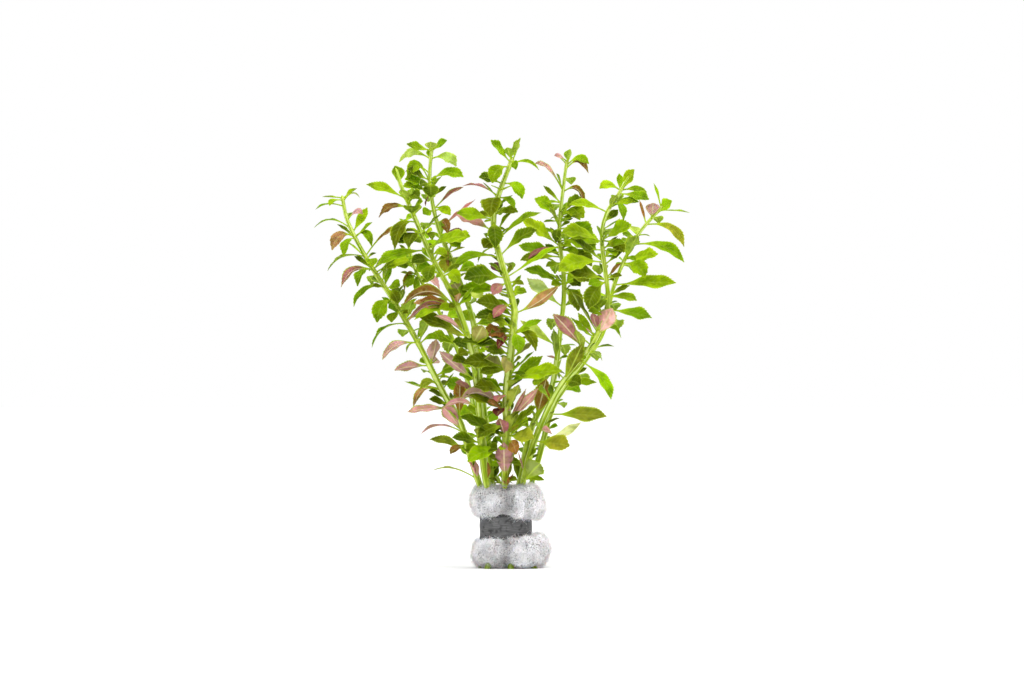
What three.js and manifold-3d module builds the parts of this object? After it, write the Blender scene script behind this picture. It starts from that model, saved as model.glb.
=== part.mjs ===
// Mini rice paddy herb, as sold for an aquarium: a bunch of eight leafy cut stems.
// A collar of filter wool wraps the lower ends, and a lead strip wound round its waist
// pinches it in. The bunch stands on the flat underside of the wool and on its cut ends.
// Millimetres, +Z up. +X is to the right seen from the front, and -Y is to the front.
// The origin is the middle of the underside.

import * as THREE from 'three';
import { mergeVertices } from 'three/addons/utils/BufferGeometryUtils.js';
import Module from 'manifold-3d';

const wasm = await Module();
wasm.setup();

// Gap kept between pieces that touch, and how near two corners are to count as one
const GAP = 0.3;
const MERGE_DISTANCE = 1e-4;

// Stems: a radius at the cut end and one at the tip, and the number of sides
const STEM_RADIUS = 1.35;
const TIP_RADIUS = 0.55;
const STEM_SIDES = 5;

// Leaves: a narrow stalk, then a blade that is widest past its middle.
// A section is a shallow wedge, with its edges folded up and its rib below.
// SPREAD makes up for what a blade's slant takes off its width as seen from the front.
const STALK_HALF_WIDTH = 0.36;
const RIB_DEPTH = 0.45;
const FOLD = 0.22;
const SPREAD = 1.3;
const SHOWN_ROLL = 50;
const ROOT_OUT = 0.5;

// Where a leaf is highest, as a share of its length, and how much nearer its tip that
// comes on a leaf that hangs. A leaf counts as reaching LEAST_REACH across or more.
const CREST_ALONG = 0.55;
const DROOP = 0.35;
const LEAST_REACH = 1;

// Where a leaf's sections are, as [share of its length, share of its full width].
// A leaf longer than LONG_LEAF has one section more.
const LONG_LEAF = 16;
const LONG_STATIONS = [[0, 0], [0.34, 0.42], [0.68, 1]];
const SHORT_STATIONS = [[0, 0], [0.6, 1]];

// Wool collar: its waist is a circle about an upright line at WAIST_X
const WAIST_X = -1;
const WAIST_RADIUS = 9.7;
const WOOL_TOP = 34.4;
const WOOL_SIDES = 20;
const WOOL_DEPTH_RATIO = 0.9;
const GROOVE_DEPTH = 1.6;
const GROOVE_HALF_ANGLE = 0.28;

// Outlines of the wool, as [distance from the waist's line, height], on the left and
// on the right. Both have a lower roll, the waist and an upper roll.
const WOOL_LEFT = [
  [11, 0], [13.4, 2], [14.3, 6], [13.3, 9.8], [12.9, 10.4], [12.6, 10.8],
  [WAIST_RADIUS, 10.8], [WAIST_RADIUS, 23.1], [12.4, 23],
  [13.2, 23.6], [15, 28], [13.8, 32.2], [10.5, WOOL_TOP],
];
const WOOL_RIGHT = [
  [14.6, 0], [17.6, 2.4], [19, 7.5], [17.4, 12.6], [14.4, 14.2], [12.9, 10.9],
  [WAIST_RADIUS, 10.8], [WAIST_RADIUS, 23.1], [12.8, 22.9],
  [13.8, 20.8], [16.7, 24.5], [15.6, 31.4], [11.5, WOOL_TOP],
];
const WAIST_ROWS = [5, 6, 7, 8];

// Lead strip: a flat ribbon wound a little more than once round the waist. Its free end
// lifts off the waist from STRIP_LIFT_FROM of a turn, to lie over its start.
const STRIP_THICKNESS = 1;
const STRIP_HEIGHT = 10;
const STRIP_MIDDLE = 16.9;
const STRIP_FRONT_BULGE = 0.8;
const STRIP_TURNS = 1.14;
const STRIP_STEPS = 36;
const STRIP_START = 0.3 * Math.PI;
const STRIP_LIFT_FROM = 0.82;

// Each stem is given by the points that its middle passes through, from the cut end
// up, as [x, y, z]. The first four lie inside the wool.
const STEM_PATHS = {
  stem_far_left: [
    [-11.2, -2.5, 0], [-8.6, -2.4, 7], [-5.6, -1.9, 17], [-8.2, -2.7, 27],
    [-12.2, -4, 36], [-16, -6, 48.5], [-20.2, -8, 61.5], [-28, -11, 75.5],
    [-37.5, -14.5, 94.5], [-48, -17, 112.5], [-58.5, -18.5, 129], [-66.5, -18.5, 144.5],
    [-69.2, -18.5, 156],
  ],
  stem_left_back: [
    [-8.2, 7.4, 0], [-7, 4.6, 7], [-5.6, 1.9, 17], [-7.4, 3.6, 27],
    [-9.6, 6.2, 36], [-12.6, 13.5, 58], [-16.8, 20.5, 77], [-22.3, 25.5, 93.5],
    [-31.9, 30.5, 112.5], [-39.5, 34, 126], [-45, 36.5, 147],
  ],
  stem_left_front: [
    [-8.6, -10.6, 0], [-6, -7.6, 7], [-2.9, -4.6, 17], [-6.4, -6.4, 27],
    [-9.2, -9, 37], [-11.2, -14.5, 59], [-14.7, -23, 89.5], [-21.8, -27, 111.5],
    [-32, -30.5, 131], [-37.8, -32.5, 144.5], [-44, -34, 159], [-46.6, -34, 167],
  ],
  stem_left_centre: [
    [-3.4, 10.4, 0], [-3.2, 7.4, 7], [-2.9, 4.6, 17], [-4.8, 5.4, 27],
    [-6.7, 6.5, 36], [-8.4, 8, 52.5], [-11.5, 9, 78], [-14.7, 7.5, 103.5],
    [-21.8, 5, 124.5], [-29.4, 2.5, 143.5], [-32.8, 1, 161.5], [-31.9, 0, 177.5],
  ],
  stem_centre: [
    [1.3, -12, 0], [1.2, -8.2, 7], [0.9, -4.6, 17], [-0.4, -6.4, 27],
    [-1.3, -9, 36], [-0.4, -13.5, 59], [-0.4, -17, 75], [2.4, -18.5, 102],
    [2.1, -17, 111.5], [-5, -14.5, 136.5], [-5.9, -14.5, 147.5], [-3.8, -16, 156.5],
    [2.1, -17, 172],
  ],
  stem_right_back: [
    [5, 9.8, 0], [3, 7.2, 7], [0.9, 4.6, 17], [2.6, 5.8, 27],
    [5, 7.4, 36], [10.1, 12.5, 59], [18.3, 18, 75], [21.8, 24.5, 96],
    [23.9, 29.5, 119], [21.8, 31.5, 141], [23.9, 33, 163.5], [25.2, 33, 172.5],
  ],
  stem_right_front: [
    [11.2, -7.4, 0], [7.4, -4.8, 7], [3.6, -1.9, 17], [4.8, -3.8, 27],
    [6.3, -6, 36.5], [11.3, -10, 54], [21, -16, 75], [34.4, -20.5, 93],
    [39.5, -23, 104], [41.6, -24.5, 114], [39.1, -25.5, 136.5], [40.7, -25.5, 147.5],
    [45.8, -27, 156], [50.6, -28, 164],
  ],
  stem_far_right: [
    [12.6, 2.6, 0], [8, 2.4, 7], [3.6, 1.9, 17], [6.8, 2.4, 27],
    [10.1, 3, 36], [14, 4.5, 50], [18.1, 7, 65], [23, 9.5, 74.5],
    [35.8, 11, 91.5], [41.2, 12, 102], [44.9, 13.5, 119], [54.2, 14.5, 139],
    [65.5, 14.5, 152.5],
  ],
};

// Leaves of each stem, one row a leaf: the height of its root, how far its tip lies
// across, back and up from there, how high it arches and its width. A last number is
// how far its upper face is turned to the front, in degrees, where that isn't SHOWN_ROLL.
const LEAVES = {
  stem_far_left: [
    [155, 6, 2, 4, 0.5, 3.5, 10], [154, -5.5, -5, -2.5, 2, 3, 10],
    [151.5, -12, -3, -1.5, 3.5, 1.6, 10], [139, -9.5, -5, -6, 7, 3.6],
    [138, -5, -8, -8, 5, 3.4, 0], [131, 17, 3, 10, 9, 2.8, -30], [130.5, -16, 3, -6, 6, 3.2, 10],
    [125, -13.5, -3, -7.5, 7, 3.2, -50], [125, -6.5, -8, -7, 5, 3.8, 0], [124, 14, -2, 5, 2, 5],
    [122, -3, 9, -3, 3, 4.5, 0], [118.5, -12.5, 2, -9, 6.2, 2.6], [118, 2, 6, 10, 0, 4, 0],
    [112.5, -6.5, -4, -9.5, 4, 5.4], [104, 3, -6, 8, 1, 5, 0], [102.5, -14.5, -3, -10, 6.2, 3, 10],
    [99, -4, 9, -2, 3, 4.5, 0], [94.5, -14.8, -3, -7, 5, 3.4, -50], [94.5, 5, -6, 10.5, 2, 4.4, 0],
    [85, -14.5, -4, -2, 2.5, 4.2, -50], [85, 3, -4, 11, 0, 4.6, 0], [80, -5, 9, 2, 3, 4.5, 0],
    [75, -15.5, -4, 3.5, -1, 3.2, 10], [67, -19, -3, -1.5, 1.5, 3.2, -50],
    [62, 0.5, -6, 17.5, 0, 3.8, 0], [60, -6, 8, 3, 3, 4, 0], [57, -18, 2, -1, 7, 3, 10],
    [57, -8.5, -6, 11, 2, 4.6, -50], [48, -17, 3, 6, 4, 3.2], [37.5, -19, -3, 3.5, 5.5, 1.8, 10],
  ],
  stem_left_back: [
    [130, 0, 10, -3, 4, 5, 0], [130, -2, -8, -1, 3, 5, 0], [124, -5.5, -5, -7.5, 5, 4.6, -50],
    [123, -1.5, -6, -7, 2, 5], [122, 6, -7, 0, 1, 6.5], [122, 8, 5, -5, 3, 4],
    [113, 3, 11, -4, 4, 5.5, 0], [104, -9, 6, -2, 3, 5], [104, 8, 4, 2, 3, 5],
    [94, -3, 12, -4, 4, 5.5, 0], [94, -10, -4, 3, 2, 5], [84, -9, 8, -2, 4, 5.5],
    [84, 7, 8, 0, 3, 5], [74, -2, 12, -3, 4, 5.5, 0], [74, -10, 3, 3, 2, 5], [64, -9, 7, 0, 3, 5],
    [64, 5, 8, 2, 3, 5, 0], [54, -3, 10, 0, 3, 5, 0], [46, -9, 4, 4, 2, 4.5],
    [42, 1, 9, 5, 1, 4.5, 0],
  ],
  stem_left_front: [
    [160, -2.5, 1, 8, 0, 5.2, 0], [154.5, -16.5, -3, 5.5, 2, 3.8], [150.5, -13.2, 4, -4, 6.5, 3],
    [150, 0.5, -9, -2, 3, 6.5, 0], [144.5, -9, -5, -11.5, 8, 4.4, 35], [140, -5, -8, -6, 4, 5, 0],
    [134, 16, -7, 4.5, 3, 5], [133, -21, -4, -6, 2.5, 4.4], [128, -9.5, -6, -0.5, 3, 4],
    [127.5, -3, -8, -7.5, 2, 4.6, 0], [122, -10, -7, 2, 4, 5], [110, -15, -5, 2, 1, 3.6],
    [110, 6, -7, 2, 3, 4.5], [109, -22.5, -5, 1, 13, 4.6, -50],
    [108, -20.5, -8, -4.5, 9, 3.2, -50], [108, -18, -9, -4, 5, 2.6], [97, -19.5, -8, 8, 2, 5.8],
    [92, 3, 7, 8, 1, 6, -50], [84, -9, -7, 3, 3, 5], [79, -15, -5, 12, 0, 5, -50],
    [67, -14.5, -6, 0.5, 6, 2.8, -50], [53, -1, -7, 6, 1, 4.5, 0], [52.5, -12.5, -6, 2.5, 1, 4.6],
  ],
  stem_left_centre: [
    [175.5, -10.5, -2, 2.5, -0.5, 3.6], [175.5, 6.5, -2, 4, 0.5, 3.8],
    [172, 10.5, -3, -3.5, 4.5, 4], [172, -13.5, 3, -1.5, 6, 3.4], [163, 14, -3, 1, 5, 4.2],
    [163, -9.5, -6, 4.5, 0, 4.6], [163, -9.5, -5, 0, 12, 4], [162, 0.5, -6, -6.5, 1, 5, 0],
    [156, -2, 9, -2, 3, 4.5, 0], [144, -6, 8, -2, 3, 4.5, 0], [143, 15.5, 5, 12, 0, 2.6, 10],
    [137, -5, -9, -3, 3, 6.5, 0], [136, 10.5, -6, 3, 2, 5], [132, -1.5, -5, -8, 1, 4.4, 0],
    [130, 2, 9, -3, 3, 5, 0], [124, -3, -8, 6, 1, 4, 0], [103, -6, 7, 3, 2, 4.5],
    [91, -10, -6, 4, 1, 5], [90, 7, 5, 4, 2, 4.5], [78, -9, -6, 3, 2, 5], [48, 5, 3, 8, 0, 4.4, 0],
    [35, 2.5, 2, 9.5, 0, 4.2, 0],
  ],
  stem_centre: [
    [171, 3.5, -2, 9, 0, 4.6, 0], [170, -8.5, -3, 9, 0.5, 4.2], [168, -7, -4, -7, 4, 4.5],
    [161, -10, -2, 2.5, 1.5, 4.4], [158, 1, -9, 0, 1.5, 6.5, 0], [155, -3, -8, -8, 5, 6.5, 0],
    [150, 2, 9, -2, 3, 4.5, 0], [146, -15.5, -4, 2.5, 1, 5], [145, 0.5, -7, -11, 3, 4.8, 0],
    [141, -16, 3, 6.8, 2.5, 4.6], [137, 19, 7, 12, 3.2, 3, 30], [131, 15.5, -4, 10.5, 4, 5],
    [130, -20, -3, -5, 10, 2.8], [127, 4, 9, -2, 3, 4.5, 0], [122, 22, -3, 13, 1, 3.2, 30],
    [121.5, -17.5, -6, -0.5, 2.5, 7.4], [115, -22, -4, 1.5, 3, 4.6], [112, -4, 9, 2, 3, 4.5, 0],
    [107.5, -15.5, -5, 4, 2, 5.6], [107, 19, -5, 11.5, -2, 4, -50], [105, -16, -8, 0, 2, 4.6],
    [101, -11, -8, 3, 2, 6], [99, -12, -8, -1, 1.5, 5], [99, 2.5, -7, -9, 3, 4.2, 0],
    [99, 9.5, -4, -8, 6, 3.4], [97, -9, -8, 0, 1, 6], [95, -3, 9, 0, 3, 4.5, 0],
    [92, -21, -10, 3, 3, 5.5], [90, -10, -9, 1, 1, 4], [88, -2, -8, -6, 3, 5],
    [84, -19, -11, 2, 3, 5.5], [83, -12, -10, -1, 1.5, 4], [82, -10.5, -6, 6.5, 1, 4.6, -50],
    [79, 14.5, 4, 10, 0, 4], [78.5, 22.5, -4, 4.5, 2, 5.8], [74, -13.5, -9, 2, 2, 5],
    [73, -10, 3, 7, 0, 3.6], [66, -18, -11, 7.5, 2, 5.5], [66, 5, -5, 11, 0.5, 5, 0],
    [65, -19, -12, 6, 11, 4.4, -50], [62, 13, -4, 13.5, 0, 3.2, -50], [60, -12, -8, -5, 2, 4],
    [58, 12.5, -9, 10, 0.5, 5], [56, 4, -5, 10, 0, 4.6, 0], [55.5, 11, -9, -1, 1.5, 5.5],
    [55, -3, -5, 8, 0, 4.4, 0], [54.5, -19.5, -11, 9.5, 2, 4.8], [54, 4, -8, -6, 2, 4],
    [50, -16, -9, -5, 3, 5], [37, -0.5, -5, 16, 0, 5.2, 0],
  ],
  stem_right_back: [
    [170.5, 9.5, -2, 0, 5, 3], [169, 9.5, -3, -2.5, 8, 2], [160, -12.5, 2, 10.5, 8, 2, -50],
    [153, -4, 9, -3, 3, 4.8, 0], [149.5, 8.5, -4, 6.5, 2, 5], [148, 8, -7, -1.5, 2, 4.4, 0],
    [147, -11, 3, 9, 3, 4.4], [146, 7, -7, 3.5, 1, 4.6], [143, 14, -5, -2, 2.5, 4.6],
    [141, 3, 11, -3, 4, 5, 0], [138, 15, -6, -4, 3, 5], [136, -16.5, -4, 10.5, 1.8, 6],
    [134, 13, -6, -7, 3, 4.6], [133, -18, 3, 3, -1, 5], [128, -3, 12, -4, 4, 5, 0],
    [124, 11, -6, -3.5, 2, 5], [119, -17, -4, 6.5, 3, 4.2], [118, 6, -6, -10, 3, 4.6],
    [116, 4, 11, -3, 4, 5.5, 0], [110, -15, 4, 12, 0, 4.6], [104, -4, 12, -3, 4, 5.5, 0],
    [93, 3, 12, -4, 4, 5.5, 0], [93, -16, 4, 11, 0, 3.6], [86.5, -1, -4, 14, 0, 3.5, 30],
    [82, -3, 12, -3, 4, 5.5, 0], [75, -8, 5, 3, 3, 4.5], [70, 4, 11, -2, 3, 5, 0],
    [62, 4.5, -4, 17.5, 0, 5.4, -50], [58, 5, 9, 1, 3, 5, 0], [58, -6, 6, 4, 2, 4.5],
    [50, -6, 2, 8, 1, 4.2, 0], [47, -3, 9, 3, 2, 5, 0], [36, -3, 2, 11, 0, 4.4, 0],
  ],
  stem_right_front: [
    [158, -9, -2, 0.5, 3.5, 3.6], [158, 11, 3, -2.5, 3, 4], [158, 5.5, -2, 8.5, 0, 4.4],
    [156.5, 12.4, -4, -2.5, 0.8, 3.6], [149, -16, -4, 3, 3, 3.2], [141, 3, 9, -2, 3, 4.5, 0],
    [137.5, 12, -5, 6, 1, 6], [136.5, -17, -5, 3.5, 4, 5.2], [128.5, -12.5, -3, 9, 0.5, 4.4, 40],
    [128, -19, -8, -4, 4, 6], [126, -2, 9, -3, 3, 5, 0], [121, -17, -5, 4, 1, 6.5],
    [120, -7.5, -7, -11.5, 2, 6], [113.5, 12, -3, -1.5, 2, 3.4], [110, 4, 9, -2, 3, 5, 0],
    [99, -11, -6, 17, 1, 4.8, 40], [97, 7, -6, 12, 0, 6, -50], [91, -14, -6, 15.5, 2, 5, -50],
    [90, 5, 9, -3, 3, 4.5, 0], [90, -4, -5, 10, 0, 3.6, 0], [87, 13, -3, -16, 1.5, 3.6],
    [78, 7, -7, -1, 2, 5], [77, 8.5, -7, 17, 0, 5.8, -50], [77, 14.5, 4, 1, 1, 2.8],
    [70, -6, -7, 5, 2, 4.5], [53.5, 14.5, -6, -2, 0, 6.5], [36.5, 7.2, -6, 7.5, 0.5, 8, -50],
  ],
  stem_far_right: [
    [152, -3.5, 2, 10, 1.5, 1.4, 10], [150.5, 13, 1, -1, 1, 1.4, 10], [149.5, 6.3, -2, 5, 0, 5.6],
    [144.5, 15.5, -3, -9.5, 6.5, 3.4], [138, -3, 10, -3, 3, 5, 0], [136, 21.5, -3, -7.5, 6, 4],
    [130, 13.3, -4, 2, 0, 5], [129, 5, -6, 11, 1, 6, 0], [128, 8.5, -7, -6, 4, 5],
    [127, 5, 11, -3, 4, 5.5, 0], [119, 26, -3, 0.8, 1.2, 5.2], [114, -4, 10, -3, 4, 5, 0],
    [108.5, 18, -3, -3.5, 0.5, 4.6], [103, 5, 10, -3, 4, 5.5, 0], [92, -2, 11, -3, 3, 5, 0],
    [80, 5, 10, -3, 4, 5.5, 0], [74, 8, 6, 0, 3, 4.5], [68, 4, 9, -1, 3, 5, 0],
    [64.5, 23.5, -2, -1, 0.5, 6], [53, 16, 5, 8, -1.5, 3], [52, 5, 8, 2, 3, 5, 0],
  ],
};

// Colours and finishes
const FINISHES = {
  stem: { color: 0x86a81e, roughness: 0.5, metalness: 0 },
  wool: { color: 0xd9d9d7, roughness: 1, metalness: 0 },
  lead: { color: 0x5c5c5d, roughness: 0.6, metalness: 0.7 },
};

const UP = new THREE.Vector3(0, 0, 1);
const BACK = new THREE.Vector3(0, 1, 0);

// Rings of points, each with the same count, joined into one closed body. The first
// and last ring are closed by a flat face, and a ring of one point makes a tip.
function loft(rings) {
  const positions = rings.flat().flatMap((point) => [point.x, point.y, point.z]);
  const sides = rings[0].length;
  const faces = [];
  for (let side = 1; side < sides - 1; side++) {
    faces.push(0, side + 1, side);
  }
  let start = 0;
  for (let row = 1; row < rings.length; row++) {
    const next = start + sides;
    for (let side = 0; side < sides; side++) {
      const after = (side + 1) % sides;
      if (rings[row].length === 1) {
        faces.push(start + side, start + after, next);
      } else {
        faces.push(start + side, start + after, next + after);
        faces.push(start + side, next + after, next + side);
      }
    }
    start = next;
  }
  if (rings.at(-1).length > 1) {
    for (let side = 1; side < sides - 1; side++) {
      faces.push(start, start + side, start + side + 1);
    }
  }
  const geometry = new THREE.BufferGeometry();
  geometry.setAttribute('position', new THREE.Float32BufferAttribute(positions, 3));
  geometry.setIndex(faces);
  return geometry;
}

// A geometry as a solid that can be joined and cut
function solid(geometry) {
  const merged = mergeVertices(geometry, MERGE_DISTANCE);
  return new wasm.Manifold(new wasm.Mesh({
    numProp: 3,
    vertProperties: new Float32Array(merged.attributes.position.array),
    triVerts: new Uint32Array(merged.index.array),
  }));
}

// The geometry of a solid
function surface(body) {
  const mesh = body.getMesh();
  const geometry = new THREE.BufferGeometry();
  geometry.setAttribute('position', new THREE.BufferAttribute(mesh.vertProperties, 3));
  geometry.setIndex(new THREE.BufferAttribute(mesh.triVerts, 1));
  geometry.computeVertexNormals();
  return geometry;
}

function stemPoints(name) {
  return STEM_PATHS[name].map(([x, y, z]) => new THREE.Vector3(x, y, z));
}

// A ring of points round a stem, square to the way that the stem runs. The first point
// is half a side round.
function stemRing(middle, direction, radius) {
  const side = new THREE.Vector3().crossVectors(BACK, direction).normalize();
  const other = new THREE.Vector3().crossVectors(direction, side).normalize();
  const ring = [];
  for (let step = 0; step < STEM_SIDES; step++) {
    const angle = (step + 0.5) * 2 * Math.PI / STEM_SIDES;
    ring.push(middle.clone()
      .addScaledVector(side, radius * Math.cos(angle))
      .addScaledVector(other, radius * Math.sin(angle)));
  }
  return ring;
}

// The way that a stem runs at one of its points. The cut end is level.
function stemDirection(points, index) {
  if (index === 0) {
    return UP;
  }
  const before = points[index - 1];
  const after = points[Math.min(index + 1, points.length - 1)];
  return new THREE.Vector3().subVectors(after, before).normalize();
}

function stemRadius(points, index) {
  const share = points[index].z / points.at(-1).z;
  return THREE.MathUtils.lerp(STEM_RADIUS, TIP_RADIUS, share);
}

function stemTube(name) {
  const points = stemPoints(name);
  const rings = points.map((point, index) => (
    stemRing(point, stemDirection(points, index), stemRadius(points, index))));
  return solid(loft(rings));
}

// The channel that a stem needs in the wool: the same tube, a gap wider, from below
// the cut end to the first point above the wool
function stemChannel(name) {
  const points = stemPoints(name);
  const last = points.findIndex((point) => point.z > WOOL_TOP);
  const rings = [];
  for (let index = 0; index <= last + 1; index++) {
    const radius = stemRadius(points, index) + GAP;
    rings.push(stemRing(points[index], stemDirection(points, index), radius));
  }
  const below = rings[0].map((point) => point.clone().addScaledVector(UP, -1));
  return solid(loft([below, ...rings]));
}

// The point on a stem's middle at a height
function stemAt(name, height) {
  const points = stemPoints(name);
  const next = points.findIndex((point) => point.z > height);
  const from = points[next - 1];
  const to = points[next];
  return from.clone().lerp(to, (height - from.z) / (to.z - from.z));
}

// How far along a leaf its highest point is: further out the more the leaf hangs
function crestAlong(across, up) {
  const hang = Math.max(0, -up) / Math.max(Math.abs(across), LEAST_REACH);
  return CREST_ALONG + DROOP * Math.min(1, hang);
}

// One leaf, from inside the stem to its tip
function leafBody(name, [height, across, back, up, arch, width, shown = SHOWN_ROLL]) {
  const middle = stemAt(name, height);
  const tip = middle.clone().add(new THREE.Vector3(across, back, up));
  const outward = new THREE.Vector3(across, back, 0).normalize();
  const root = middle.clone().addScaledVector(outward, ROOT_OUT);
  const crest = root.clone().lerp(tip, crestAlong(across, up));
  crest.z = (root.z + tip.z) / 2 + arch;
  const rib = new THREE.QuadraticBezierCurve3(root, crest, tip);
  const level = new THREE.Vector3().crossVectors(UP, outward);
  const roll = THREE.MathUtils.degToRad(shown) * Math.sign(across);
  const stations = root.distanceTo(tip) < LONG_LEAF ? SHORT_STATIONS : LONG_STATIONS;
  const rings = stations.map(([along, share]) => {
    const centre = rib.getPoint(along);
    const tangent = rib.getTangent(along);
    const side = level.clone().applyAxisAngle(tangent, roll);
    const face = new THREE.Vector3().crossVectors(tangent, side).normalize();
    const half = THREE.MathUtils.lerp(STALK_HALF_WIDTH, SPREAD * width / 2, share);
    const left = centre.clone().addScaledVector(side, half).addScaledVector(face, half * FOLD);
    const right = centre.clone().addScaledVector(side, -half).addScaledVector(face, half * FOLD);
    const below = centre.clone().addScaledVector(face, -RIB_DEPTH);
    return [right, below, left];
  });
  rings.push([tip]);
  return solid(loft(rings));
}

// A stem with its leaves grown from it, as one piece
function leafyStem(name) {
  const leaves = LEAVES[name].map((row) => leafBody(name, row));
  return leaves.reduce((body, leaf) => body.add(leaf), stemTube(name));
}

// How far the groove at the front and back draws the wool in, from 0 to 1
function groove(angle) {
  const away = (Math.abs(Math.sin(angle)) - 1) / (1 - Math.cos(GROOVE_HALF_ANGLE));
  return Math.max(0, 1 + away);
}

// The wool: two puffed rolls with a waist, cut by the channels of the stems
function woolCollar() {
  const rings = WOOL_LEFT.map((left, row) => {
    const right = WOOL_RIGHT[row];
    const waist = WAIST_ROWS.includes(row);
    const ring = [];
    for (let step = 0; step < WOOL_SIDES; step++) {
      const angle = step * 2 * Math.PI / WOOL_SIDES;
      const share = (1 + Math.cos(angle)) / 2;
      const height = THREE.MathUtils.lerp(left[1], right[1], share);
      const full = THREE.MathUtils.lerp(left[0], right[0], share);
      const out = waist ? full : full - GROOVE_DEPTH * groove(angle);
      const depth = waist ? 1 : WOOL_DEPTH_RATIO;
      ring.push(new THREE.Vector3(
        WAIST_X + out * Math.cos(angle), out * depth * Math.sin(angle), height));
    }
    return ring;
  });
  return Object.keys(STEM_PATHS).reduce(
    (body, name) => body.subtract(stemChannel(name)), solid(loft(rings)));
}

// The lead strip: it starts at the back, goes once round the waist, and its free end
// lies over its start with a gap between them
function leadStrip() {
  const inner = WAIST_RADIUS + GAP;
  const rings = [];
  for (let step = 0; step <= STRIP_STEPS; step++) {
    const turn = STRIP_TURNS * step / STRIP_STEPS;
    const angle = STRIP_START + turn * 2 * Math.PI;
    const lift = (STRIP_THICKNESS + GAP) * THREE.MathUtils.smoothstep(turn, STRIP_LIFT_FROM, 1);
    const frontward = Math.max(0, -Math.sin(angle));
    const half = STRIP_HEIGHT / 2 + STRIP_FRONT_BULGE * frontward ** 2;
    const at = (radius, height) => new THREE.Vector3(
      WAIST_X + radius * Math.cos(angle), radius * Math.sin(angle), STRIP_MIDDLE + height);
    rings.push([
      at(inner + lift, -half),
      at(inner + lift, half),
      at(inner + lift + STRIP_THICKNESS, half),
      at(inner + lift + STRIP_THICKNESS, -half),
    ]);
  }
  return solid(loft(rings));
}

function addPiece(group, name, body, finish) {
  const mesh = new THREE.Mesh(surface(body), new THREE.MeshStandardMaterial(finish));
  mesh.name = name;
  group.add(mesh);
}

const bunch = new THREE.Group();
for (const name of Object.keys(STEM_PATHS)) {
  addPiece(bunch, name, leafyStem(name), FINISHES.stem);
}
addPiece(bunch, 'filter_wool', woolCollar(), FINISHES.wool);
addPiece(bunch, 'lead_strip', leadStrip(), FINISHES.lead);

export default bunch;
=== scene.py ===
"""Looks of a bunch of mini rice paddy herb: eight leafy stems in a wool collar with a lead strip.

Tables are in millimetres, as [x, y, z] with +X right, -Y to the front and +Z up. Blender works in
metres, so every shape is made in millimetres and scaled by MM when its mesh is made. Shares run
from 0 to 1, and a colour is given as red, green and blue shares on a screen.
"""

import math
import random

import bpy
import numpy as np
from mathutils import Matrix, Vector, noise


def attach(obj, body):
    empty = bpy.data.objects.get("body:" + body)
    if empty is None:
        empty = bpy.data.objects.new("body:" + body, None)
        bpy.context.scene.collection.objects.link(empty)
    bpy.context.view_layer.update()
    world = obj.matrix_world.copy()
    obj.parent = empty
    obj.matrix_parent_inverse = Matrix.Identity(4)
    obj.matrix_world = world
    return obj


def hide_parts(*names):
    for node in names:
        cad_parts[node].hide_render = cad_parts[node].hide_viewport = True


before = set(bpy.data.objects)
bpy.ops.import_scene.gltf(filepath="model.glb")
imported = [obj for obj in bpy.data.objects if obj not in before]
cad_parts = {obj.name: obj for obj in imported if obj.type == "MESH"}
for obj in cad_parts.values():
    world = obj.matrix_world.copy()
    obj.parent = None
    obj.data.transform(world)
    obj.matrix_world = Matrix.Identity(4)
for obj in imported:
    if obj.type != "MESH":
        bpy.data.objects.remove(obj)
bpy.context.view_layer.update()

MM = 0.001
UP = np.array([0.0, 0.0, 1.0])
FULL_TURN = 2 * math.pi
PHASES = (0, 6)

# Camera: level with the middle of the bunch and far off, so that the view is nearly flat. It sees
# as far as VIEW_END metres.
FRAME_WIDTH = 430.08
FRAME_CENTRE = (1.7, 95.1)
CAMERA_DISTANCE = 2500
SENSOR_WIDTH = 36
VIEW_END = 20

# Stems
STEM_SEED = 100
STEM_RADIUS = 1.35
TIP_RADIUS = 0.55
TIP_END_SHARE = 0.4
STEM_SIDES = 14
STEM_STEP = 1.0
NODE_SWELL = 0.12
NODE_REACH = 1.0
NODE_PALENESS = 0.7
RIDGES = 4
RIDGE_HEIGHT = 0.06
CUT_TONE_HEIGHTS = (5, 2)

# Leaves: the CAD leaf's stalk, fold and root, and the finer form that is only made here. A pair of
# shares says between which places along the leaf something grows to its full.
STALK_HALF_WIDTH = 0.36
ROOT_OUT = 0.5
FOLD = 0.3
BLADE_START = 0.15
BLADE_PEAK = 0.62
BLADE_THICKNESS = 0.22
STALK_THICKNESS = 0.6
THICKNESS_GROWS = (0.05, 0.4)
TIP_NARROWS = (0.7, 1)
TIP_THINS = (0.85, 1)
TIP_THINNING = 0.7
FOLD_GROWS = (0.1, 0.4)
RIB_DEPTH = 0.3
RIB_HALF_WIDTH = 0.14
RIB_FADE = 0.6
GROOVE_SHARE = 0.35
GROOVE_GROWS = (0.05, 0.3)
TOOTH_PITCH = 1.15
TOOTH_DEPTH = 0.09
TOOTH_LEAN = 0.35
TOOTH_CREST = 0.7
TOOTHLESS_LENGTH = 3
FULL_TEETH_LENGTH = 14
LEAST_TEETH = 5
TEETH_FROM = 0.34
TEETH_TO = 0.998
STALK_STATIONS = 7
COLUMNS = (-1, -0.74, -0.45, -0.16, 0, 0.16, 0.45, 0.74, 1)
WAVE_HEIGHT = 0.2
WAVES = (1.5, 3)
WAVES_GROW = (0.25, 0.5)
FLAT_LENGTH = 5
SPREAD = 1.35
CREST_ALONG = 0.55
CREST_UP = 0.5
DROOP = 0.35
TWIST = 14
TWIST_CENTRE = 0.4

# How much one leaf's tone differs from the next
LEAF_LIGHTS = (0.88, 1.12)
LEAF_WARMTH = 0.03
TONE_GROWS = (0.12, 0.38)

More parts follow.
